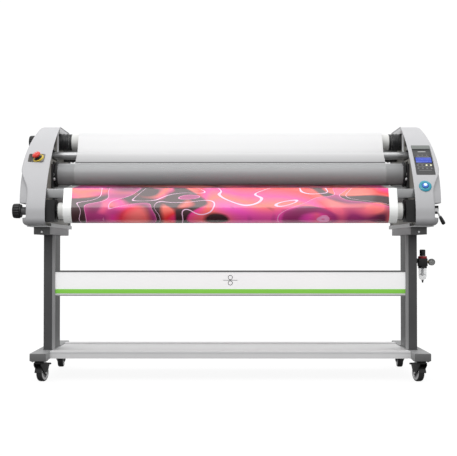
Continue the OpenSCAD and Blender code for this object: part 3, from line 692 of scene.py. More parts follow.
def cover_mesh(name, sign, cutters):
    """The moulded shell: rows by height, each running over the front, the side and the rear."""
    bm = bmesh.new()
    lip = 0.0035
    edge_r = 0.007
    insets = [0.0, 0.004, 0.010, 0.018, 0.028, 0.045, 0.080]
    grid = []
    for z in cover_rows():
        yf, yr = front_y(z), rear_y(z)
        xe = edge_x(z)
        fall = 0.0
        if z > TOP - 0.010:
            fall = 0.010 - math.sqrt(max(0.0, 0.010 ** 2 - (z - TOP + 0.010) ** 2))
        side = bulge_x(z) - bottom_round(z)
        row = [(INNER + 0.0005, yf + lip), (INNER, yf + 0.0015), (INNER + 0.0015, yf)]
        flat_from, flat_to = INNER + 0.004, xe - fall - edge_r
        row += [(flat_from + (flat_to - flat_from) * i / 5, yf) for i in range(6)]
        for i in range(1, 5):
            a = math.pi / 2 * i / 5
            row.append((flat_to + edge_r * math.sin(a), yf + edge_r * (1 - math.cos(a))))
        span = yr - yf
        inner = [edge_r + d for d in insets if edge_r + d < span * 0.4]
        steps = 12 - len(inner)
        places = list(inner)
        for i in range(1, steps + 1):
            places.append(inner[-1] + (span / 2 - inner[-1]) * i / steps)
        side_cols = []
        for d in places:
            ease = smoothstep(edge_r, edge_r + 0.030, d)
            x = xe + (side - xe) * ease - fall
            side_cols.append((x, d))
        row += [(x, yf + d) for x, d in side_cols]
        row += [(x, yr - d) for x, d in reversed(side_cols[:-1])]
        for i in range(4, 0, -1):
            a = math.pi / 2 * i / 5
            row.append((flat_to + edge_r * math.sin(a), yr - edge_r * (1 - math.cos(a))))
        row += [(flat_from + (flat_to - flat_from) * i / 5, yr) for i in range(5, -1, -1)]
        row += [(INNER + 0.0015, yr), (INNER, yr - 0.0015), (INNER + 0.0005, yr - lip)]
        grid.append([bm.verts.new((sign * x, y, z)) for x, y in row])
    for a, b in zip(grid, grid[1:]):
        for i in range(len(a) - 1):
            bm.faces.new((a[i], a[i + 1], b[i + 1], b[i]))
    top = grid[-1]
    half = len(top) // 2
    for i in range(half):
        j = len(top) - 1 - i
        if i + 1 < j - 1:
            bm.faces.new((top[i], top[i + 1], top[j - 1], top[j]))
        elif i + 1 == j - 1:
            bm.faces.new((top[i], top[i + 1], top[j]))
    bmesh.ops.remove_doubles(bm, verts=bm.verts, dist=0.00001)
    skin = BVHTree.FromBMesh(bm)
    piece = to_object(bm, name, "cover", "frame", nodes=(name.replace("_shell", ""),),
                      slot="cover_shell", angle=40.0)
    # The shell's wall grows inward
    centre = Vector((sign * (INNER + 0.04), 0.0, 0.95))
    probe = max(piece.data.polygons, key=lambda f: f.area)
    outward = probe.normal.dot(probe.center - centre) > 0
    wall = piece.modifiers.new("wall", "SOLIDIFY")
    wall.thickness = 0.0035
    wall.offset = -1.0 if outward else 1.0
    wall.use_rim = True
    for k, cutter in enumerate(cutters):
        cut = piece.modifiers.new(f"cut{k}", "BOOLEAN")
        cut.operation = "DIFFERENCE"
        cut.object = cutter
        cut.solver = "EXACT"
    depsgraph = bpy.context.evaluated_depsgraph_get()
    result = bpy.data.meshes.new_from_object(piece.evaluated_get(depsgraph))
    piece.modifiers.clear()
    piece.data = result
    for cutter in cutters:
        bpy.data.objects.remove(cutter, do_unlink=True)
    return skin


def cutter(place, outline, depth0, depth1):
    bm = bmesh.new()
    prism_into(bm, outline, depth0, depth1, place)
    bmesh.ops.recalc_face_normals(bm, faces=bm.faces)
    mesh = bpy.data.meshes.new("cutter")
    bm.to_mesh(mesh)
    bm.free()
    tool = bpy.data.objects.new("cutter", mesh)
    bpy.context.scene.collection.objects.link(tool)
    return tool


def on_chord(x, t0, t1):
    """The place on the front curve's chord: +X to the right, +Y up the slope, +Z outward."""
    a, b = bezier(FRONT_CURVE, t0), bezier(FRONT_CURVE, t1)
    up = Vector((0, b[0] - a[0], b[1] - a[1])).normalized()
    x_dir = Vector((1, 0, 0))
    out = x_dir.cross(up)
    rotation = Matrix((x_dir, up, out)).transposed().to_4x4()
    return Matrix.Translation(((x), (a[0] + b[0]) / 2, (a[1] + b[1]) / 2)) @ rotation


PANEL_AT = on_chord(0.890, 0.33, 0.70)
PANEL_W, PANEL_L = 0.088, 0.212
STOP_AT = on_chord(-0.887, 0.48, 0.58) @ Matrix.Rotation(math.radians(-22), 4, "Y") \
    @ Matrix.Rotation(math.radians(-6), 4, "X")
STOP_W, STOP_L = 0.070, 0.060
STOP_RECESS = STOP_AT @ Matrix.Translation((-0.007, 0, 0))
DIAL_AT = on_chord(0.878, 0.225, 0.245)
DIAL_R = 0.029


def knob_hole(axis):
    return cutter(x_rod(axis, -1.0), circle_outline(0.020, 36), 0.0, 0.13)


LEFT_SKIN = cover_mesh("left_cover_shell", -1, [
    knob_hole(FILM), knob_hole(MEDIA),
    cutter(STOP_RECESS, rounded_rect(STOP_W, STOP_L, 0.006), -0.012, 0.050)])
RIGHT_SKIN = cover_mesh("right_cover_shell", 1, [
    cutter(PANEL_AT, rounded_rect(PANEL_W, PANEL_L, 0.003), -0.012, 0.030),
    cutter(DIAL_AT, circle_outline(DIAL_R - 0.0005, 48), -0.012, 0.020)])


def skin_height(skin, place, u, v):
    """Height of the cover's surface over the place's plane at (u, v), or None off the cover."""
    out = place.to_3x3() @ Vector((0, 0, 1))
    hit = skin.ray_cast(place @ Vector((u, v, 0.09)), -out, 0.14)[0]
    return (place.inverted() @ hit)[2] if hit else None


def recess_wall(name, skin, place, w, h, r, floor, material):
    """The moulded wall between the cover's surface and a recessed floor."""
    bm = bmesh.new()
    outline = zip(rounded_rect(w - 0.0012, h - 0.0012, r, 5),
                  rounded_rect(w + 0.0006, h + 0.0006, r, 5))
    rings = [[], [], []]
    for (u, v), (ou, ov) in outline:
        top = skin_height(skin, place, u, v)
        top = floor if top is None else max(floor, top)
        rings[0].append(bm.verts.new(place @ Vector((ou, ov, top + 0.0001))))
        rings[1].append(bm.verts.new(place @ Vector((u, v, max(floor, top - 0.0006)))))
        rings[2].append(bm.verts.new(place @ Vector((u, v, floor - 0.0002))))
    count = len(rings[0])
    for a, b in zip(rings, rings[1:]):
        for i in range(count):
            j = (i + 1) % count
            bm.faces.new((a[i], a[j], b[j], b[i]))
    return to_object(bm, name, material, "frame", slot="cover_shell")


recess_wall("panel_recess", RIGHT_SKIN, PANEL_AT, PANEL_W, PANEL_L, 0.003, -0.004, "cover")
# The stop's recess wall is painted dark grey: painted shade inside the recess
recess_wall("stop_recess", LEFT_SKIN, STOP_RECESS, STOP_W, STOP_L, 0.006, -0.006, "recess")

# ---------------------------------------------------------------- control panel

frame["nodes"]["control_panel"].data.materials[0] = MAT["panel"]


def on_panel(outline, u, v, height, name, material, base=0.0, edge=0.0002, **kw):
    place = PANEL_AT @ Matrix.Translation((u, v, 0))
    return prism(name, outline, base, height, place, material, "frame", edge=edge, **kw)


on_panel(rounded_rect(0.084, 0.178, 0.004), 0, -0.014, 0.0006, "panel_overlay", "panel",
         slot="panel")
# Dark strip along the panel's top: painted shade of the recess's top wall
on_panel(rounded_rect(0.085, 0.026, 0.002), 0, 0.091, 0.0030, "panel_painted_shade_strip", "painted_shade_strip", edge=0.0012,
         slot="panel")
on_panel(rounded_rect(0.078, 0.044, 0.002), 0.002, -0.001, 0.0012, "display_bezel", "black_gloss",
         slot="panel")
on_panel(rounded_rect(0.072, 0.036, 0.0015), 0.002, -0.001, 0.0016, "display", "lcd", slot="panel")
for row, (v, lit) in enumerate(((0.034, ()), (-0.037, (2, 3)), (-0.059, ()))):
    count = 3 if row == 0 else 4
    for k in range(count):
        u = (k - (count - 1) / 2) * 0.0200 + 0.001
        size = 0.0036 if row == 0 else 0.0046
        on_panel(circle_outline(size, 24), u, v, 0.0014, f"key_{row}_{k}",
                 "key_lit" if k in lit else "key_dim", slot="panel")
for k, (v, long) in enumerate(((0.060, 0.036), (0.024, 0.060), (-0.026, 0.060), (-0.048, 0.060),
                               (-0.073, 0.060))):
    on_panel(rounded_rect(long, 0.0018 if k else 0.0050, 0.0006, 2), 0.001, v, 0.0009,
             f"panel_line_{k}", "panel_mark" if k else "panel_name", slot="panel")

# ---------------------------------------------------------------- round control

lathe("dial_ring_piece", DIAL_AT,
      [(-0.006, 0.0), (-0.006, DIAL_R - 0.0006), (0.001, DIAL_R - 0.0004), (0.003, DIAL_R - 0.001),
       (0.0055, DIAL_R - 0.006), (0.0062, DIAL_R - 0.009), (0.0055, 0.0158), (0.0030, 0.0146),
       (-0.001, 0.0146), (-0.001, 0.0)],
      "teal", "frame", segments=72, nodes=("dial_ring",), slot="dial_teal")
lathe("dial_button_piece", DIAL_AT,
      [(0.0030, 0.0), (0.0030, 0.0138), (0.0066, 0.0140), (0.0084, 0.0128), (0.0102, 0.0090),
       (0.0112, 0.0045), (0.0114, 0.0)],
      "blue", "dial_button", segments=56, nodes=("dial_button",), slot="dial_blue")
lathe("dial_light_ring", DIAL_AT @ Matrix.Translation((0, 0.002, 0)),
      [(0.0100, 0.0), (0.0106, 0.0075), (0.0116, 0.0062), (0.0120, 0.0)],
      "dial_light", "dial_button", segments=40, slot="dial_blue")

# ---------------------------------------------------------------- emergency stop

# The stop's recess floor is painted dark grey as painted shade
prism("stop_plate", rounded_rect(STOP_W - 0.0012, STOP_L - 0.0012, 0.005), -0.010, -0.006,
      STOP_RECESS, "recess", "frame", edge=0.0006, nodes=("estop_base",), slot="cover_shell")
lathe("stop_yellow_disc", STOP_AT,
      [(-0.006, 0.0086), (-0.006, 0.0262), (-0.0005, 0.0262), (0.0010, 0.0250), (0.0010, 0.0086),
       (-0.006, 0.0086)],
      "yellow", "frame", segments=56, close=False, slot="estop_yellow")
lathe("stop_collar", STOP_AT,
      [(0.0008, 0.0200), (0.0022, 0.0196), (0.0026, 0.0150), (0.0060, 0.0146), (0.0072, 0.0138),
       (0.0090, 0.0128), (0.0090, 0.0086), (0.0012, 0.0086), (0.0008, 0.0200)],
      "black", "frame", segments=48, flutes=(12, 0.0008, 0.0027, 0.0065), close=False,
      slot="black_part")
lathe("stop_cap_piece", STOP_AT,
      [(0.0020, 0.0), (0.0020, 0.0078), (0.0135, 0.0078), (0.0138, 0.0150), (0.0155, 0.0188),
       (0.0180, 0.0200), (0.0215, 0.0199), (0.0245, 0.0182), (0.0268, 0.0140), (0.0280, 0.0080),
       (0.0283, 0.0)],
      "red", "estop_cap", segments=56, nodes=("estop_cap",), slot="estop_red")

# ---------------------------------------------------------------- side plates and trays

for side, sign in SIDES:
    frame["nodes"][f"{side}_side_plate"].data.materials[0] = MAT["plate"]
    lo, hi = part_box(f"{side}_side_plate")
    x0 = sign * (abs(lo[0] + hi[0]) / 2 - 0.004)
    # The folded front flange of the plate's upper part, painted far lighter than the plate: a painted
    # highlight
    boxes(f"{side}_plate_flange", [(
        (min(sign * (INNER + 0.001), x0), 0.0030, IDLER[1] - 0.022),
        (max(sign * (INNER + 0.001), x0), 0.0045, 1.160))], "cover_painted_highlight", "frame",
        edge=0.0004, slot="plate_steel")
    # Upper inner skin, level with the cover's flat top, painted lighter than the shell: a painted highlight
    y0, y1 = 0.0445, 0.318
    boxes(f"{side}_top_skin", [(
        (min(sign * INNER, sign * (INNER + 0.010)), y0, TOP - 0.030),
        (max(sign * INNER, sign * (INNER + 0.010)), y1, TOP - 0.0032))], "cover_painted_highlight", "frame",
        edge=0.0015, slot="cover_shell")
    screws(f"{side}_plate_screws", [
        ((x0, y, z), (-sign, 0, 0)) for y, z in
        ((0.036, 1.166), (0.306, 1.166), (-0.230, 0.985), (0.320, 0.760), (-0.120, 0.740))],
        "frame")

frame["nodes"]["base_trays"].data.materials[0] = MAT["tray"]
for side, sign in SIDES:
    lo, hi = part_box("base_trays")
    lip_x = hi[0] - 0.084
    place = frame_at((sign * lip_x, lo[1] + 0.105, 0.716), (0, 1, 0))
    lathe(f"{side}_tray_curl", place,
          [(0, 0.0), (0, 0.0052), (0.004, 0.0062), (hi[1] - lo[1] - 0.110, 0.0062),
           (hi[1] - lo[1] - 0.106, 0.0052), (hi[1] - lo[1] - 0.106, 0.0)],
          "tray", "frame", segments=20, slot="aluminium")

# ---------------------------------------------------------------- stand


def rounded_node(node, material, edge=0.003, slot=None):
    """A box-shaped node again, with eased edges."""
    lo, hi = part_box(node)
    return boxes(f"{node}_piece", [(lo, hi)], material, "frame", edge=edge, nodes=(node,),
                 slot=slot)


for side, sign in SIDES:
    rounded_node(f"{side}_post", "paint", 0.0035, "painted_steel")
    lo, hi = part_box(f"{side}_post")
    inner = min(abs(lo[0]), abs(hi[0]))
    xs = sorted((sign * (inner - 0.0115), sign * (inner + 0.002)))
    # Pale rail down the post's inner front edge: partly a real bead, partly a painted highlight of the edge
    boxes(f"{side}_post_bead_and_painted_highlight", [((xs[0], lo[1] - 0.0012, lo[2] + 0.002),
                                 (xs[1], lo[1] + 0.009, hi[2] - 0.002))], "rail", "frame",
          edge=0.0009, slot="aluminium")
    lo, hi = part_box(f"{side}_foot")
    boxes(f"{side}_foot_piece", [(lo, hi)], "foot", "frame", edge=0.0035,
          nodes=(f"{side}_foot",), slot="foot_metal")
    cap = 0.0015
    boxes(f"{side}_foot_ends", [
        ((lo[0] + 0.001, lo[1] - cap, lo[2] + 0.001), (hi[0] - 0.001, lo[1] + 0.004, hi[2] - 0.001)),
        ((lo[0] + 0.001, hi[1] - 0.004, lo[2] + 0.001), (hi[0] - 0.001, hi[1] + cap, hi[2] - 0.001))],
        "foot_front", "frame", edge=0.0016, slot="painted_steel")
    lo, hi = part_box(f"{side}_saddle")
    front = lo[1] + 0.004
    boxes(f"{side}_saddle_piece", [((lo[0], front + 0.003, lo[2]), hi)], "saddle_side", "frame",
          edge=0.003, nodes=(f"{side}_saddle",), slot="painted_steel")
    boxes(f"{side}_saddle_front", [((lo[0], front, lo[2]), (hi[0], front + 0.006, hi[2]))],
          "foot_front", "frame", edge=0.0012, slot="painted_steel")
    middle = (lo[0] + hi[0]) / 2
    screws(f"{side}_saddle_screw", [((middle, front, lo[2] + 0.012), (0, -1, 0))], "frame", r=0.005)
    # Weld bead round the post's ends
    p_lo, p_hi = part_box(f"{side}_post")
    for label, z in (("low", p_lo[2]), ("high", p_hi[2])):
        bead = 0.002
        boxes(f"{side}_weld_{label}", [
            ((p_lo[0] - bead, p_lo[1] - bead, z - bead), (p_hi[0] + bead, p_lo[1] + bead, z + bead)),
            ((p_lo[0] - bead, p_hi[1] - bead, z - bead), (p_hi[0] + bead, p_hi[1] + bead, z + bead))],
            "paint", "frame", edge=0.001, slot="painted_steel")

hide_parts("foot_caps")

lo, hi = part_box("cross_panel")
stripe_low, stripe_high = 0.0115, 0.0315
boxes("cross_panel_piece", [(lo, hi)], "alu_panel_painted_glow", "frame", edge=0.002, nodes=("cross_panel",),
      slot="aluminium")
face_y = lo[1]
boxes("panel_green_stripe", [((lo[0] + 0.001, face_y - 0.0006, lo[2] + stripe_low),
                              (hi[0] - 0.001, face_y + 0.001, lo[2] + stripe_high))],
      "green", "frame", edge=0.0002, slot="aluminium")
boxes("panel_pale_strip", [((lo[0] + 0.001, face_y - 0.0005, lo[2] + 0.006),
                            (hi[0] - 0.001, face_y + 0.001, lo[2] + stripe_low))],
      "pale", "frame", edge=0.0002, slot="aluminium")
# Dark strip along the panel's top edge: painted shade of that edge
boxes("panel_top_painted_shade", [((lo[0] + 0.001, face_y - 0.003, hi[2] - 0.007),
                          (hi[0] - 0.001, face_y + 0.004, hi[2] + 0.0005))],
      "foot_front", "frame", edge=0.001, slot="painted_steel")
boxes("panel_bottom_rail", [((lo[0] + 0.001, face_y - 0.002, lo[2] - 0.0005),
                             (hi[0] - 0.001, face_y + 0.004, lo[2] + 0.005))],
      "saddle_side", "frame", edge=0.001, slot="painted_steel")

# A plain pictogram on the panel: a sheet passing between two rollers
mark = bmesh.new()
mark_z = lo[2] + 0.073
mark_at = frame_at((0.0, face_y - 0.0002, mark_z), (0, -1, 0))
for dz in (-0.013, 0.013):
    ring_at = mark_at @ Matrix.Translation((0, dz, 0))
    lathe_into(mark, ring_at, [(0.0, 0.0085), (0.0007, 0.0085), (0.0007, 0.0112), (0.0, 0.0112),
                               (0.0, 0.0085)], segments=40, close=False)
box_into(mark, (-0.034, -0.0011, 0.0), (0.034, 0.0011, 0.0007), 0.0002, place=mark_at)
to_object(mark, "panel_pictogram", "mark", "frame", slot="painted_steel")

frame["nodes"]["lower_shelf"].data.materials[0] = MAT["alu_bright"]
lo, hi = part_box("lower_shelf")
for k, y in enumerate((lo[1] + 0.060, hi[1] - 0.060)):
    boxes(f"shelf_ridge_{k}", [((lo[0] + 0.001, y - 0.0015, hi[2] - 0.006),
                                (hi[0] - 0.001, y + 0.0015, hi[2] + 0.0004))],
          "alu_bright", "frame", edge=0.0008, slot="aluminium")
boxes("shelf_front_lip", [((lo[0] + 0.001, lo[1] - 0.0012, hi[2] - 0.009),
                           (hi[0] - 0.001, lo[1] + 0.002, hi[2] + 0.0004))],
      "alu_bright", "frame", edge=0.0012, slot="aluminium")

# ---------------------------------------------------------------- bars and rollers

for node, material in (("front_bar", "bar"), ("rear_bar", "bar")):
    rounded_node(node, material, 0.0035, "aluminium")
rounded_node("tie_beam", "paint", 0.003, "painted_steel")


def roller(name, axis, r, half, bore, material, body, slot, nodes=(), segments=96, chamfer=0.002):
    return lathe(name, x_rod(axis), tube_profile(-half, half, r, bore, chamfer), material, body,
                 segments=segments, close=False, nodes=nodes, slot=slot)


roller("top_roller_sleeve", TOP_ROLLER, ROLLER_R, ROLLER_HALF, 0.030, "silicone", "top_roller",
       "silicone", ("top_roller",))
roller("lower_roller_sleeve", LOW_ROLLER, ROLLER_R, ROLLER_HALF, 0.030, "silicone",
       "lower_roller", "silicone", ("lower_roller",))
roller("idler_tube_piece", IDLER, IDLER_R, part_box("idler_tube")[1][0], 0.0085, "bar", "idler",
       "aluminium", ("idler_tube",), segments=64)

disc_r = radius_of("top_roller_shaft")
journal_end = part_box("top_roller_shaft")[1][0]
lathe("top_roller_shaft_piece", x_rod(TOP_ROLLER),
      [(-journal_end, 0.0), (-journal_end, 0.0190), (-journal_end + 0.001, 0.020), (-INNER, 0.020),
       (-INNER, disc_r - 0.002), (-INNER + 0.002, disc_r), (-ROLLER_HALF - 0.002, disc_r),
       (-ROLLER_HALF, disc_r - 0.002), (-ROLLER_HALF, 0.0295), (ROLLER_HALF, 0.0295),
       (ROLLER_HALF, disc_r - 0.002), (ROLLER_HALF + 0.002, disc_r), (INNER - 0.002, disc_r),
       (INNER, disc_r - 0.002), (INNER, 0.020), (journal_end - 0.001, 0.020),
       (journal_end, 0.0190), (journal_end, 0.0)],
      "black", "top_roller", segments=80, nodes=("top_roller_shaft",), slot="black_part")
screws("top_roller_disc_screws", [
    ((sign * ROLLER_HALF, TOP_ROLLER[0] + 0.055 * math.cos(a),
      TOP_ROLLER[1] + 0.055 * math.sin(a)), (-sign, 0, 0))
    for side, sign in SIDES for a in (0.4, 2.5, 4.6)], "top_roller", r=0.003, h=0.002)

for node in ("lower_roller_shaft", "roller_gear", "motor_pinion", "air_cylinders"):
    frame["nodes"][node].data.materials[0] = MAT["steel"]
frame["nodes"]["piston_rods"].data.materials[0] = MAT["chrome"]
for node in ("bearing_blocks", "lower_bearings", "shaft_supports", "drive_motor", "liner_shaft",
             "film_shaft", "media_shaft", "caster_plates"):
    frame["nodes"][node].data.materials[0] = MAT["black"]

guide_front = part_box("bearing_blocks")[0][1]
for _, sign in SIDES:
    side = "left" if sign < 0 else "right"
    # The two pale screws that show on the guide plate
    screws(f"{side}_guide_screws", [
        ((sign * (INNER + 0.0014), guide_front + 0.030, z), (-sign, 0, 0)) for z in (0.953, 0.932)],
        "top_carriage", material="film", slot="steel", r=0.0075, h=0.006)

# Clear film on the upper roller's front and the span down to it from the idler tube
film_skin = 0.0006
SPAN_ANGLE = math.degrees(math.atan2(IDLER[1] - TOP_ROLLER[1], IDLER[0] - TOP_ROLLER[0])) + 90 \
    - math.degrees(math.asin((ROLLER_R - IDLER_R) / math.hypot(
        IDLER[0] - TOP_ROLLER[0], IDLER[1] - TOP_ROLLER[1])))
wrap = arc(TOP_ROLLER, ROLLER_R + film_skin, SPAN_ANGLE, 258, 32)
strip_mesh("laminate_on_roller", wrap, -FILM_HALF, FILM_HALF, "clear_film", "top_carriage",
           slot="film")
span_top = arc(IDLER, IDLER_R + 0.0018, SPAN_ANGLE, SPAN_ANGLE, 1)[0]
span_rows = 20
span = [tuple(span_top[k] + (wrap[0][k] - span_top[k]) * i / span_rows for k in range(2))
        for i in range(span_rows + 1)]
span_piece = strip_mesh("laminate_span", span, -FILM_HALF, FILM_HALF, "web", None, slot="film")
# The span turns from the milky, painted-shade web colour to clear film, with a dark band of painted shadow
# between them where the gap above the roller lies in shade
for material in ("mark", "clear_film"):
    span_piece.data.materials.append(MAT[material])
for face in span_piece.data.polygons:
    height = (face.center[2] - wrap[0][1]) / (span_top[1] - wrap[0][1])
    face.material_index = 0 if height > 0.25 else 1 if height > 0.15 else 2

# ---------------------------------------------------------------- film, media and their shafts

CORE_R = radius_of("film_core")
for name, axis, body in (("film_core", FILM, "film_spool"), ("media_core", MEDIA, "media_spool")):
    roller(f"{name}_tube", axis, CORE_R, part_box(name)[1][0], CORE_R - 0.004, "core", body,
           "card_core", (name,), segments=72, chamfer=0.0008)


def wound_roll(name, axis, r, half, material, body, slot, node):
    """A roll with slightly uneven wound ends."""
    generator = random.Random(len(name))
    layers = 14
    profile = []
    for sign in (-1, 1):
        ends = []
        for i in range(layers + 1):
            radius = CORE_R + 0.0002 + (r - 0.0006 - CORE_R) * i / layers
            ends.append((sign * (half - generator.uniform(0.0, 0.0012)), radius))
        ends.append((sign * (half - 0.0016), r))
        profile += ends if sign < 0 else list(reversed(ends))
    profile.append(profile[0])
    return lathe(name, x_rod(axis), profile, material, body, segments=110, close=False,
                 nodes=(node,), slot=slot)


wound_roll("film_roll_wound", FILM, FILM_R, FILM_HALF, "film", "film_spool", "film", "film_roll")
wound_roll("media_roll_wound", MEDIA, MEDIA_R, MEDIA_HALF, "media", "media_spool", "media",
           "media_roll")
WEB_GAP = 0.001


def tangent_angle(c0, r0, c1, r1):
    """Direction from both centres to a shared tangent line on the left of c0 to c1."""
    dx, dy = c1[0] - c0[0], c1[1] - c0[1]
    return math.degrees(math.atan2(dy, dx) - math.acos((r0 - r1) / math.hypot(dx, dy)))


rf, ri, rl = FILM_R + WEB_GAP, IDLER_R + WEB_GAP, CORE_R + WEB_GAP
a_in = tangent_angle(FILM, rf, IDLER, ri) + 360
dx, dy = LINER[0] - IDLER[0], LINER[1] - IDLER[1]
a_out = math.degrees(math.atan2(dy, dx) - math.asin((rl - ri) / math.hypot(dx, dy))) - 90 + 360
leave, meet = arc(FILM, rf, a_in, a_in, 1)[0], arc(IDLER, ri, a_in, a_in, 1)[0]
slack = Vector((leave[1] - meet[1], meet[0] - leave[0])).normalized() * -0.0022
film_path = arc(FILM, rf, a_in + 30, a_in, 10)
film_path += [tuple(leave[k] + (meet[k] - leave[k]) * i / 10
                    + slack[k] * math.sin(math.pi * i / 10) for k in range(2)) for i in range(1, 10)]
film_path += arc(IDLER, ri, a_in, a_in + 40, 8)
strip_mesh("film_web_sheet", film_path, -FILM_HALF, FILM_HALF, "web", "frame", columns=12,
           nodes=("film_web",), slot="film")
# The liner return is painted mid-grey: painted shade for its underside between the idler and the roller
liner_path = arc(IDLER, ri, a_in + 40, a_out, 12) + arc(LINER, rl, a_out, a_out + 25, 6)
strip_mesh("liner_return", liner_path,
           -FILM_HALF, FILM_HALF, "liner", "frame", columns=12, slot="film")
# Black flanges on the film core
for side, sign in SIDES:
    lathe(f"{side}_core_flange", frame_at((sign * 0.773, *FILM), (sign, 0, 0)),
          [(0, CORE_R), (0, 0.0385), (0.001, 0.040), (0.012, 0.040), (0.013, 0.0385), (0.013, CORE_R)],
          "black", "film_spool", segments=64, close=False, slot="black_part")

bar_lo, bar_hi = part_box("front_bar")
rear_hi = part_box("rear_bar")[1]
nip_y, nip_z = TOP_ROLLER[0], (TOP_ROLLER[1] + LOW_ROLLER[1]) / 2
BEND_IN = 0.003
bend = BEND_IN * 1.42 + WEB_GAP
front_bend = (bar_lo[1] + BEND_IN, bar_hi[2] - BEND_IN)
rear_bend = (rear_hi[1] - BEND_IN, rear_hi[2] - BEND_IN)
media_path = arc(MEDIA, MEDIA_R + WEB_GAP, 205, 160, 12) + arc(front_bend, bend, 160, 96, 8)
media_path += [(nip_y - 0.018, nip_z), (nip_y + 0.018, nip_z)]
media_path += arc(rear_bend, bend, 86, 0, 8) + [(rear_bend[0] + bend, rear_bend[1] - 0.130)]
printed_web = strip_mesh("media_web_sheet", media_path, -MEDIA_HALF, MEDIA_HALF, "media", "frame",
                         columns=12, nodes=("media_web",), slot="media")
# The bright print would tint the grey roller above it too strongly
printed_web.visible_diffuse = False
printed_web.visible_glossy = False

# Screws on the fronts of the media supports
supports_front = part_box("shaft_supports")[0][1]
for side, sign in SIDES:
    screws(f"{side}_support_screws", [
        ((sign * 0.796, supports_front + 0.004, MEDIA[1] + dz), (0, -1, 0))
        for dz in (-0.009, 0.007)], "frame", material="film", r=0.0042, h=0.003)
    # Collars and disc springs between the supports and the chucks
    for label, axis in (("film", FILM), ("liner", LINER)):
        place = frame_at((sign * 0.7925, *axis), (sign, 0, 0))
        lathe(f"{side}_{label}_brake_disc", place,
              [(-0.001, 0.016), (-0.001, 0.041), (0.003, 0.0425), (0.007, 0.0425), (0.009, 0.0405),
               (0.016, 0.0405), (0.018, 0.0425), (0.024, 0.0425), (0.026, 0.0405),
               (0.045, 0.0405)],
              "black", "frame", segments=64, close=False, slot="black_part")

# ---------------------------------------------------------------- brake knobs

for label, axis in (("film", FILM), ("media", MEDIA)):
    lo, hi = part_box(f"{label}_knob")
    r = radius_of(f"{label}_knob")
    length = hi[0] - lo[0]
    place = frame_at((hi[0], *axis), (-1, 0, 0))
    lathe(f"{label}_knob_neck", place,
          [(0, 0.0), (0, 0.018), (length - 0.038, 0.018), (length - 0.038, 0.0)],
          "neck", f"{label}_knob", segments=64, slot="black_part")
    lathe(f"{label}_knob_piece", place,
          [(length - 0.0390, 0.0), (length - 0.0390, r - 0.005), (length - 0.0375, r - 0.0035),
           (length - 0.0335, r - 0.0035), (length - 0.0325, r - 0.0050), (length - 0.0310, r),
           (length - 0.016, r), (length - 0.005, r - 0.001), (length - 0.0015, r - 0.004),
           (length, r - 0.008), (length, 0.012), (length - 0.002, 0.010), (length - 0.002, 0.0)],
          "black", f"{label}_knob", segments=96,
          flutes=(16, 0.0032, length - 0.0315, length - 0.001), nodes=(f"{label}_knob",),
          slot="black_part")

# ---------------------------------------------------------------- air lever

pivot = joint("air_lever_turn")["pos_m"]
tilt = math.radians(28)
reach = Vector((math.sin(tilt), 0, -math.cos(tilt)))
hub_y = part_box("air_lever")[1][1]
lever_at = frame_at((pivot[0], pivot[1], pivot[2]), reach, up=(0, 1, 0))
lever_bm = bmesh.new()
lathe_into(lever_bm, frame_at((pivot[0], hub_y, pivot[2]), (0, -1, 0)),
           [(0, 0.0), (0, 0.0082), (0.001, 0.009), (0.008, 0.009), (0.009, 0.0082), (0.009, 0.0)], 36)
lathe_into(lever_bm, lever_at, [(0.004, 0.0), (0.004, 0.004), (0.042, 0.004), (0.042, 0.0)], 24)
to_object(lever_bm, "air_lever_rod", "chrome", "air_lever", nodes=("air_lever",), slot="chrome")
lathe("air_lever_grip", lever_at,
      [(0.032, 0.0), (0.032, 0.0052), (0.035, 0.0068), (0.048, 0.0082), (0.060, 0.0090),
       (0.068, 0.0088), (0.073, 0.0062), (0.074, 0.0)],
      "black_gloss", "air_lever", segments=36, slot="black_part")
# Valve block behind the lever
block_x = (EDGE_X - 0.001, EDGE_X + 0.026)
boxes("air_valve_block", [((block_x[0], pivot[1] + 0.006, 0.762),
                           (block_x[1], pivot[1] + 0.040, 0.799))],
      "black", "frame", edge=0.002, slot="black_part")
boxes("air_valve_plate", [((block_x[0], pivot[1] + 0.002, 0.748),
                           (block_x[0] + 0.004, pivot[1] + 0.046, 0.7995))],
      "black", "frame", edge=0.0012, slot="black_part")

# ---------------------------------------------------------------- air regulator

reg_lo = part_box("regulator_body")[0]
knob_lo, knob_hi = (Vector(v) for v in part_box("regulator_knob"))
reg_x = (knob_lo[0] + knob_hi[0]) / 2
reg_y = (knob_lo[1] + knob_hi[1]) / 2
up_at = frame_at((reg_x, reg_y, 0), (0, 0, 1))
boxes("regulator_block", [
    ((reg_x - 0.021, reg_y - 0.021, 0.522), (reg_x + 0.021, reg_y + 0.021, 0.558)),
    ((reg_lo[0], reg_y - 0.009, 0.536), (reg_x - 0.018, reg_y + 0.009, 0.558)),
    ((reg_lo[0], reg_y - 0.016, 0.524), (reg_lo[0] + 0.004, reg_y + 0.016, 0.592))],
      "black", "frame", edge=0.0022, nodes=("regulator_body",), slot="black_part")
lathe("regulator_collar", up_at,
      [(0.557, 0.0), (0.557, 0.020), (0.559, 0.0212), (0.566, 0.0212), (0.569, 0.019), (0.5693, 0.0)],
      "red_band", "frame", segments=48, flutes=(24, 0.0006, 0.5585, 0.5665), slot="black_part")
lathe("regulator_knob_piece", up_at,
      [(0.5697, 0.0), (0.5697, 0.0132), (0.572, 0.0142), (0.576, 0.0142), (0.578, 0.0128),
       (0.580, 0.0136), (0.597, 0.0136), (0.600, 0.0118), (0.6005, 0.0)],
      "black", "regulator_knob", segments=60, flutes=(20, 0.0009, 0.579, 0.598),
      nodes=("regulator_knob",), slot="black_part")
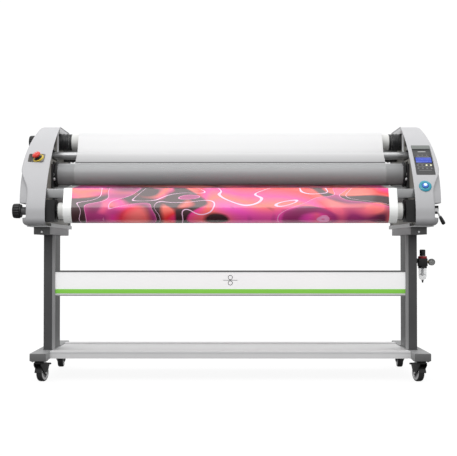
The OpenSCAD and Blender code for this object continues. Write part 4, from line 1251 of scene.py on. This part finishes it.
lathe("filter_bowl", up_at,
      [(0.520, 0.0165), (0.516, 0.0188), (0.474, 0.0184), (0.463, 0.0160), (0.458, 0.0100),
       (0.456, 0.0)],
      "bowl", "frame", segments=48, close=False, slot="black_part")
lathe("bowl_ring", up_at,
      [(0.512, 0.0196), (0.512, 0.0206), (0.5225, 0.0206), (0.5225, 0.0), (0.512, 0.0)],
      "black", "frame", segments=48, close=False, flutes=(18, 0.0008, 0.5115, 0.523),
      slot="black_part")
lathe("bowl_baffle", up_at,
      [(0.516, 0.0), (0.516, 0.006), (0.486, 0.006), (0.484, 0.013), (0.481, 0.0135), (0.479, 0.005),
       (0.475, 0.0)],
      "film", "frame", segments=36, slot="black_part")
lathe("bowl_drain", up_at,
      [(0.457, 0.0), (0.457, 0.0052), (0.451, 0.0050), (0.449, 0.0036), (0.444, 0.0036), (0.4438, 0.0)],
      "mark", "frame", segments=30, slot="black_part")
gauge_z = 0.541
gauge_x = 0.950
lathe("gauge_stem", frame_at((reg_x + 0.019, reg_y, gauge_z), (1, 0, 0)),
      [(0, 0.0), (0, 0.0055), (0.004, 0.0055), (0.005, 0.0042), (0.016, 0.0042), (0.016, 0.0)],
      "brass", "frame", segments=24, slot="steel")
gauge_at = frame_at((gauge_x, reg_y + 0.0095, gauge_z), (0, -1, 0))
lathe("gauge_case", gauge_at,
      [(0, 0.0), (0, 0.0140), (0.002, 0.0158), (0.0185, 0.0160), (0.0215, 0.0156), (0.0215, 0.0140),
       (0.0190, 0.0136), (0.0190, 0.0)],
      "black", "frame", segments=56, slot="black_part")
lathe("gauge_dial", gauge_at, [(0.0190, 0.0), (0.0190, 0.0134), (0.0194, 0.0132), (0.0194, 0.0)],
      "gauge_face", "frame", segments=48, slot="black_part")
ticks = bmesh.new()
for k in range(11):
    a = math.radians(225 - 27 * k)
    tick_at = gauge_at @ Matrix.Translation((0.0112 * math.cos(a), 0.0112 * math.sin(a), 0.0194)) \
        @ Matrix.Rotation(a, 4, "Z")
    box_into(ticks, (-0.0012, -0.0003, 0), (0.0012, 0.0003, 0.0003), 0.0, place=tick_at)
needle_at = gauge_at @ Matrix.Translation((0, 0, 0.0198)) \
    @ Matrix.Rotation(math.radians(120), 4, "Z")
box_into(ticks, (-0.002, -0.0005, 0), (0.0105, 0.0005, 0.0004), 0.0, place=needle_at)
to_object(ticks, "gauge_marks", "film", "frame", slot="black_part")
lathe("gauge_window", gauge_at, [(0.0206, 0.0), (0.0204, 0.0137), (0.0200, 0.0137), (0.0202, 0.0)],
      "gauge_glass", "frame", segments=48, slot="black_part")
# Push-in air fittings
for k, z in enumerate((0.533, 0.549)):
    lathe(f"air_fitting_{k}", frame_at((reg_x + (k * 2 - 1) * 0.008, reg_y + 0.0205, z), (0, 1, 0)),
          [(0, 0.0), (0, 0.007), (0.006, 0.007), (0.007, 0.0058), (0.016, 0.0058), (0.018, 0.005),
           (0.018, 0.0)],
          "blue", "frame", segments=30, slot="black_part")

# ---------------------------------------------------------------- casters

TRAIL = 0.028
CHEEK = 0.018
WHEEL_R = 0.0375
PEDAL_PIN = (0.052, 0.072)
FRONT_TURN = math.radians(18)


def fork_outline(top):
    """The cheek's outline in (y, z), with round ends at the wheel's axle and the pedal's pin."""
    points = [(-0.020, top), (-0.021, top - 0.012)]
    points += arc((TRAIL, WHEEL_R), 0.0115, 205, 320, 8)
    points += arc(PEDAL_PIN, 0.0062, -20, 75, 6)
    points += [(0.040, top - 0.004), (0.030, top)]
    return points


def caster(label, turn):
    """One swivel caster: fork, wheel and, at the front, a brake pedal."""
    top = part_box(f"{label}_fork")[1][2]
    swivel = joint(f"{label}_swivel_turn")["pos_m"]
    at = Matrix.Translation((swivel[0], swivel[1], 0)) @ Matrix.Rotation(turn, 4, "Z")
    fork_body, wheel_body = f"{label}_swivel", f"{label}_wheel"
    bm = bmesh.new()
    side_on = at @ Matrix(((0, 0, 1, 0), (1, 0, 0, 0), (0, 1, 0, 0), (0, 0, 0, 1)))
    for s in (-1, 1):
        prism_into(bm, fork_outline(top - 0.003), s * CHEEK - 0.00135, s * CHEEK + 0.00135, side_on,
                   edge=0.0006)
    lathe_into(bm, at, [(top - 0.0085, 0.0), (top - 0.0085, 0.0215), (top - 0.006, 0.0240),
                        (top - 0.002, 0.0240), (top - 0.0002, 0.0222), (top - 0.0002, 0.0062),
                        (top - 0.0085, 0.0062)], 48, close=False)
    # Mudguard crown between the cheeks
    crown = arc((TRAIL, WHEEL_R), 0.0405, 70, 175, 15) + arc((TRAIL, WHEEL_R), 0.0425, 175, 70, 15)
    prism_into(bm, crown, -CHEEK, CHEEK, side_on)
    to_object(bm, f"{label}_fork_piece", "black", fork_body, nodes=(f"{label}_fork",),
              slot="black_part")
    axle_at = at @ Matrix.Translation((0, TRAIL, WHEEL_R)) @ basis((1, 0, 0))
    lathe(f"{label}_axle", axle_at,
          [(-CHEEK - 0.0042, 0.0), (-CHEEK - 0.0042, 0.0050), (-CHEEK - 0.0015, 0.0062),
           (-CHEEK - 0.0013, 0.0048), (CHEEK + 0.0013, 0.0048), (CHEEK + 0.0015, 0.0062),
           (CHEEK + 0.0042, 0.0050), (CHEEK + 0.0042, 0.0)],
          "steel", fork_body, segments=36, slot="steel")
    half = 0.014
    r = WHEEL_R
    lathe(f"{label}_tyre", axle_at,
          [(-half + 0.0006, 0.0275), (-half, 0.0290), (-half + 0.0004, r - 0.004),
           (-half + 0.0025, r - 0.0012), (-half + 0.0065, r), (half - 0.0065, r),
           (half - 0.0025, r - 0.0012), (half - 0.0004, r - 0.004), (half, 0.0290),
           (half - 0.0006, 0.0275), (-half + 0.0006, 0.0275)],
          "tread", wheel_body, segments=72, close=False, nodes=(f"{label}_wheel",),
          slot="wheel_tread")
    lathe(f"{label}_hub", axle_at,
          [(-half, 0.0053), (-half, 0.0110), (-half + 0.003, 0.0125), (-half + 0.003, 0.0245),
           (-half + 0.0002, 0.0262), (-half + 0.0002, 0.0277), (half - 0.0002, 0.0277),
           (half - 0.0002, 0.0262), (half - 0.003, 0.0245), (half - 0.003, 0.0125),
           (half, 0.0110), (half, 0.0053), (-half, 0.0053)],
          "saddle_side", wheel_body, segments=56, close=False, slot="steel")
    for s in (-1, 1):
        lathe(f"{label}_wheel_ring_{'a' if s < 0 else 'b'}",
              axle_at @ Matrix.Translation((0, 0, s * (half - 0.0006))) @ basis((0, 0, s)),
              [(0.0, 0.0200), (0.0008, 0.0205), (0.0010, 0.0300), (0.0002, 0.0310)],
              "chrome", wheel_body, segments=56, close=False, slot="steel")
    if label.startswith("front"):
        side = label.split("_")[1]
        pedal = bmesh.new()
        pin_at = at @ Matrix.Translation((0, *PEDAL_PIN)) @ basis((1, 0, 0))
        lathe_into(pedal, pin_at, [(-0.014, 0.0024), (-0.014, 0.0042), (0.014, 0.0042), (0.014, 0.0024),
                                   (-0.014, 0.0024)], 30, close=False)
        box_into(pedal, (-0.0138, 0.0545, 0.0712), (0.0138, 0.0880, 0.0748), 0.0012, place=at)
        box_into(pedal, (-0.0138, 0.0815, 0.0730), (0.0138, 0.0880, 0.0790), 0.0018, place=at)
        for k in range(4):
            box_into(pedal, (-0.0110, 0.0600 + 0.005 * k, 0.0745), (0.0110, 0.0616 + 0.005 * k, 0.0756),
                     0.0003, place=at)
        to_object(pedal, f"{side}_pedal_piece", "black", f"{side}_pedal",
                  nodes=(f"{side}_brake_pedal",), slot="black_part")


for side, sign in SIDES:
    caster(f"front_{side}", sign * FRONT_TURN)
    caster(f"rear_{side}", 0.0)

for end in ("front", "rear"):
    for side, sign in SIDES:
        x, y = joint(f"{end}_{side}_swivel_turn")["pos_m"][:2]
        screws(f"{end}_{side}_plate_screws", [
            ((x + dx, y + dy, 0.0952), (0, 0, -1))
            for dx in (-0.027, 0.027) for dy in (-0.023, 0.023)],
            "frame", r=0.0042, h=0.0035)

# ---------------------------------------------------------------- stage and light

floor_mat = finish_material("floor_white", (0.12, 0.12, 0.12), 0.9, vary=0.003, grain=60, bump=0.02,
                            Emission_Color=(1.0, 1.0, 1.0, 1.0), Emission_Strength=0.91,
                            Specular_IOR_Level=0.1)


def stage_sheet():
    """A floor that curves up into a backdrop."""
    path = [(-8.0, 0.0), (2.6, 0.0)]
    path += [(2.6 + 1.6 * math.sin(math.radians(a)), 1.6 * (1 - math.cos(math.radians(a))))
             for a in range(6, 91, 6)]
    path += [(4.2, 7.0)]
    bm = bmesh.new()
    rows = [[bm.verts.new((x, y, z)) for x in (-9.0, 9.0)] for y, z in path]
    for a, b in zip(rows, rows[1:]):
        bm.faces.new((a[0], a[1], b[1], b[0]))
    for face in bm.faces:
        face.smooth = True
    mesh = bpy.data.meshes.new("floor")
    bm.to_mesh(mesh)
    bm.free()
    sheet = bpy.data.objects.new("floor", mesh)
    sheet.data.materials.append(floor_mat)
    # The floor is seen but throws no light, so the undersides stay dark
    sheet.visible_diffuse = False
    sheet.visible_glossy = False
    bpy.context.scene.collection.objects.link(sheet)


stage_sheet()


def area_light(name, place, target, size, power, shape_y=None):
    data = bpy.data.lights.new(name, "AREA")
    data.shape = "RECTANGLE"
    data.size = size
    data.size_y = shape_y or size
    data.energy = power
    light = bpy.data.objects.new(name, data)
    light.location = place
    light.rotation_euler = (Vector(target) - Vector(place)).to_track_quat("-Z", "Y").to_euler()
    bpy.context.scene.collection.objects.link(light)


def studio_world(ramp):
    """A soft surround that is bright above and dark below."""
    world = bpy.data.worlds.new("studio")
    world.use_nodes = True
    tree = world.node_tree
    coords = tree.nodes.new("ShaderNodeTexCoord")
    axes = tree.nodes.new("ShaderNodeSeparateXYZ")
    height = tree.nodes.new("ShaderNodeMapRange")
    height.inputs["From Min"].default_value = -1.0
    shade = tree.nodes.new("ShaderNodeValToRGB")
    elements = shade.color_ramp.elements
    while len(elements) < len(ramp):
        elements.new(0.5)
    for element, (place, level) in zip(elements, ramp):
        element.position = place
        element.color = (level, level, level, 1.0)
    tree.links.new(coords.outputs["Generated"], axes.inputs[0])
    tree.links.new(axes.outputs["Z"], height.inputs["Value"])
    tree.links.new(height.outputs["Result"], shade.inputs["Fac"])
    tree.links.new(shade.outputs["Color"], tree.nodes["Background"].inputs["Color"])
    bpy.context.scene.world = world


studio_world(((0.0, 0.06), (0.46, 0.36), (0.54, 0.60), (1.0, 0.86)))
area_light("key_light", (-0.6, -3.0, 3.4), (0, 0, 0.9), 3.6, 42, 1.8)
area_light("top_light", (0.0, -0.9, 3.4), (0, 0.0, 0.9), 4.6, 20, 0.6)
area_light("back_wall_light", (0.0, 1.8, 3.6), (0, 4.2, 0.8), 7.0, 90, 1.2)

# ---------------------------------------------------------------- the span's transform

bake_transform(span_piece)
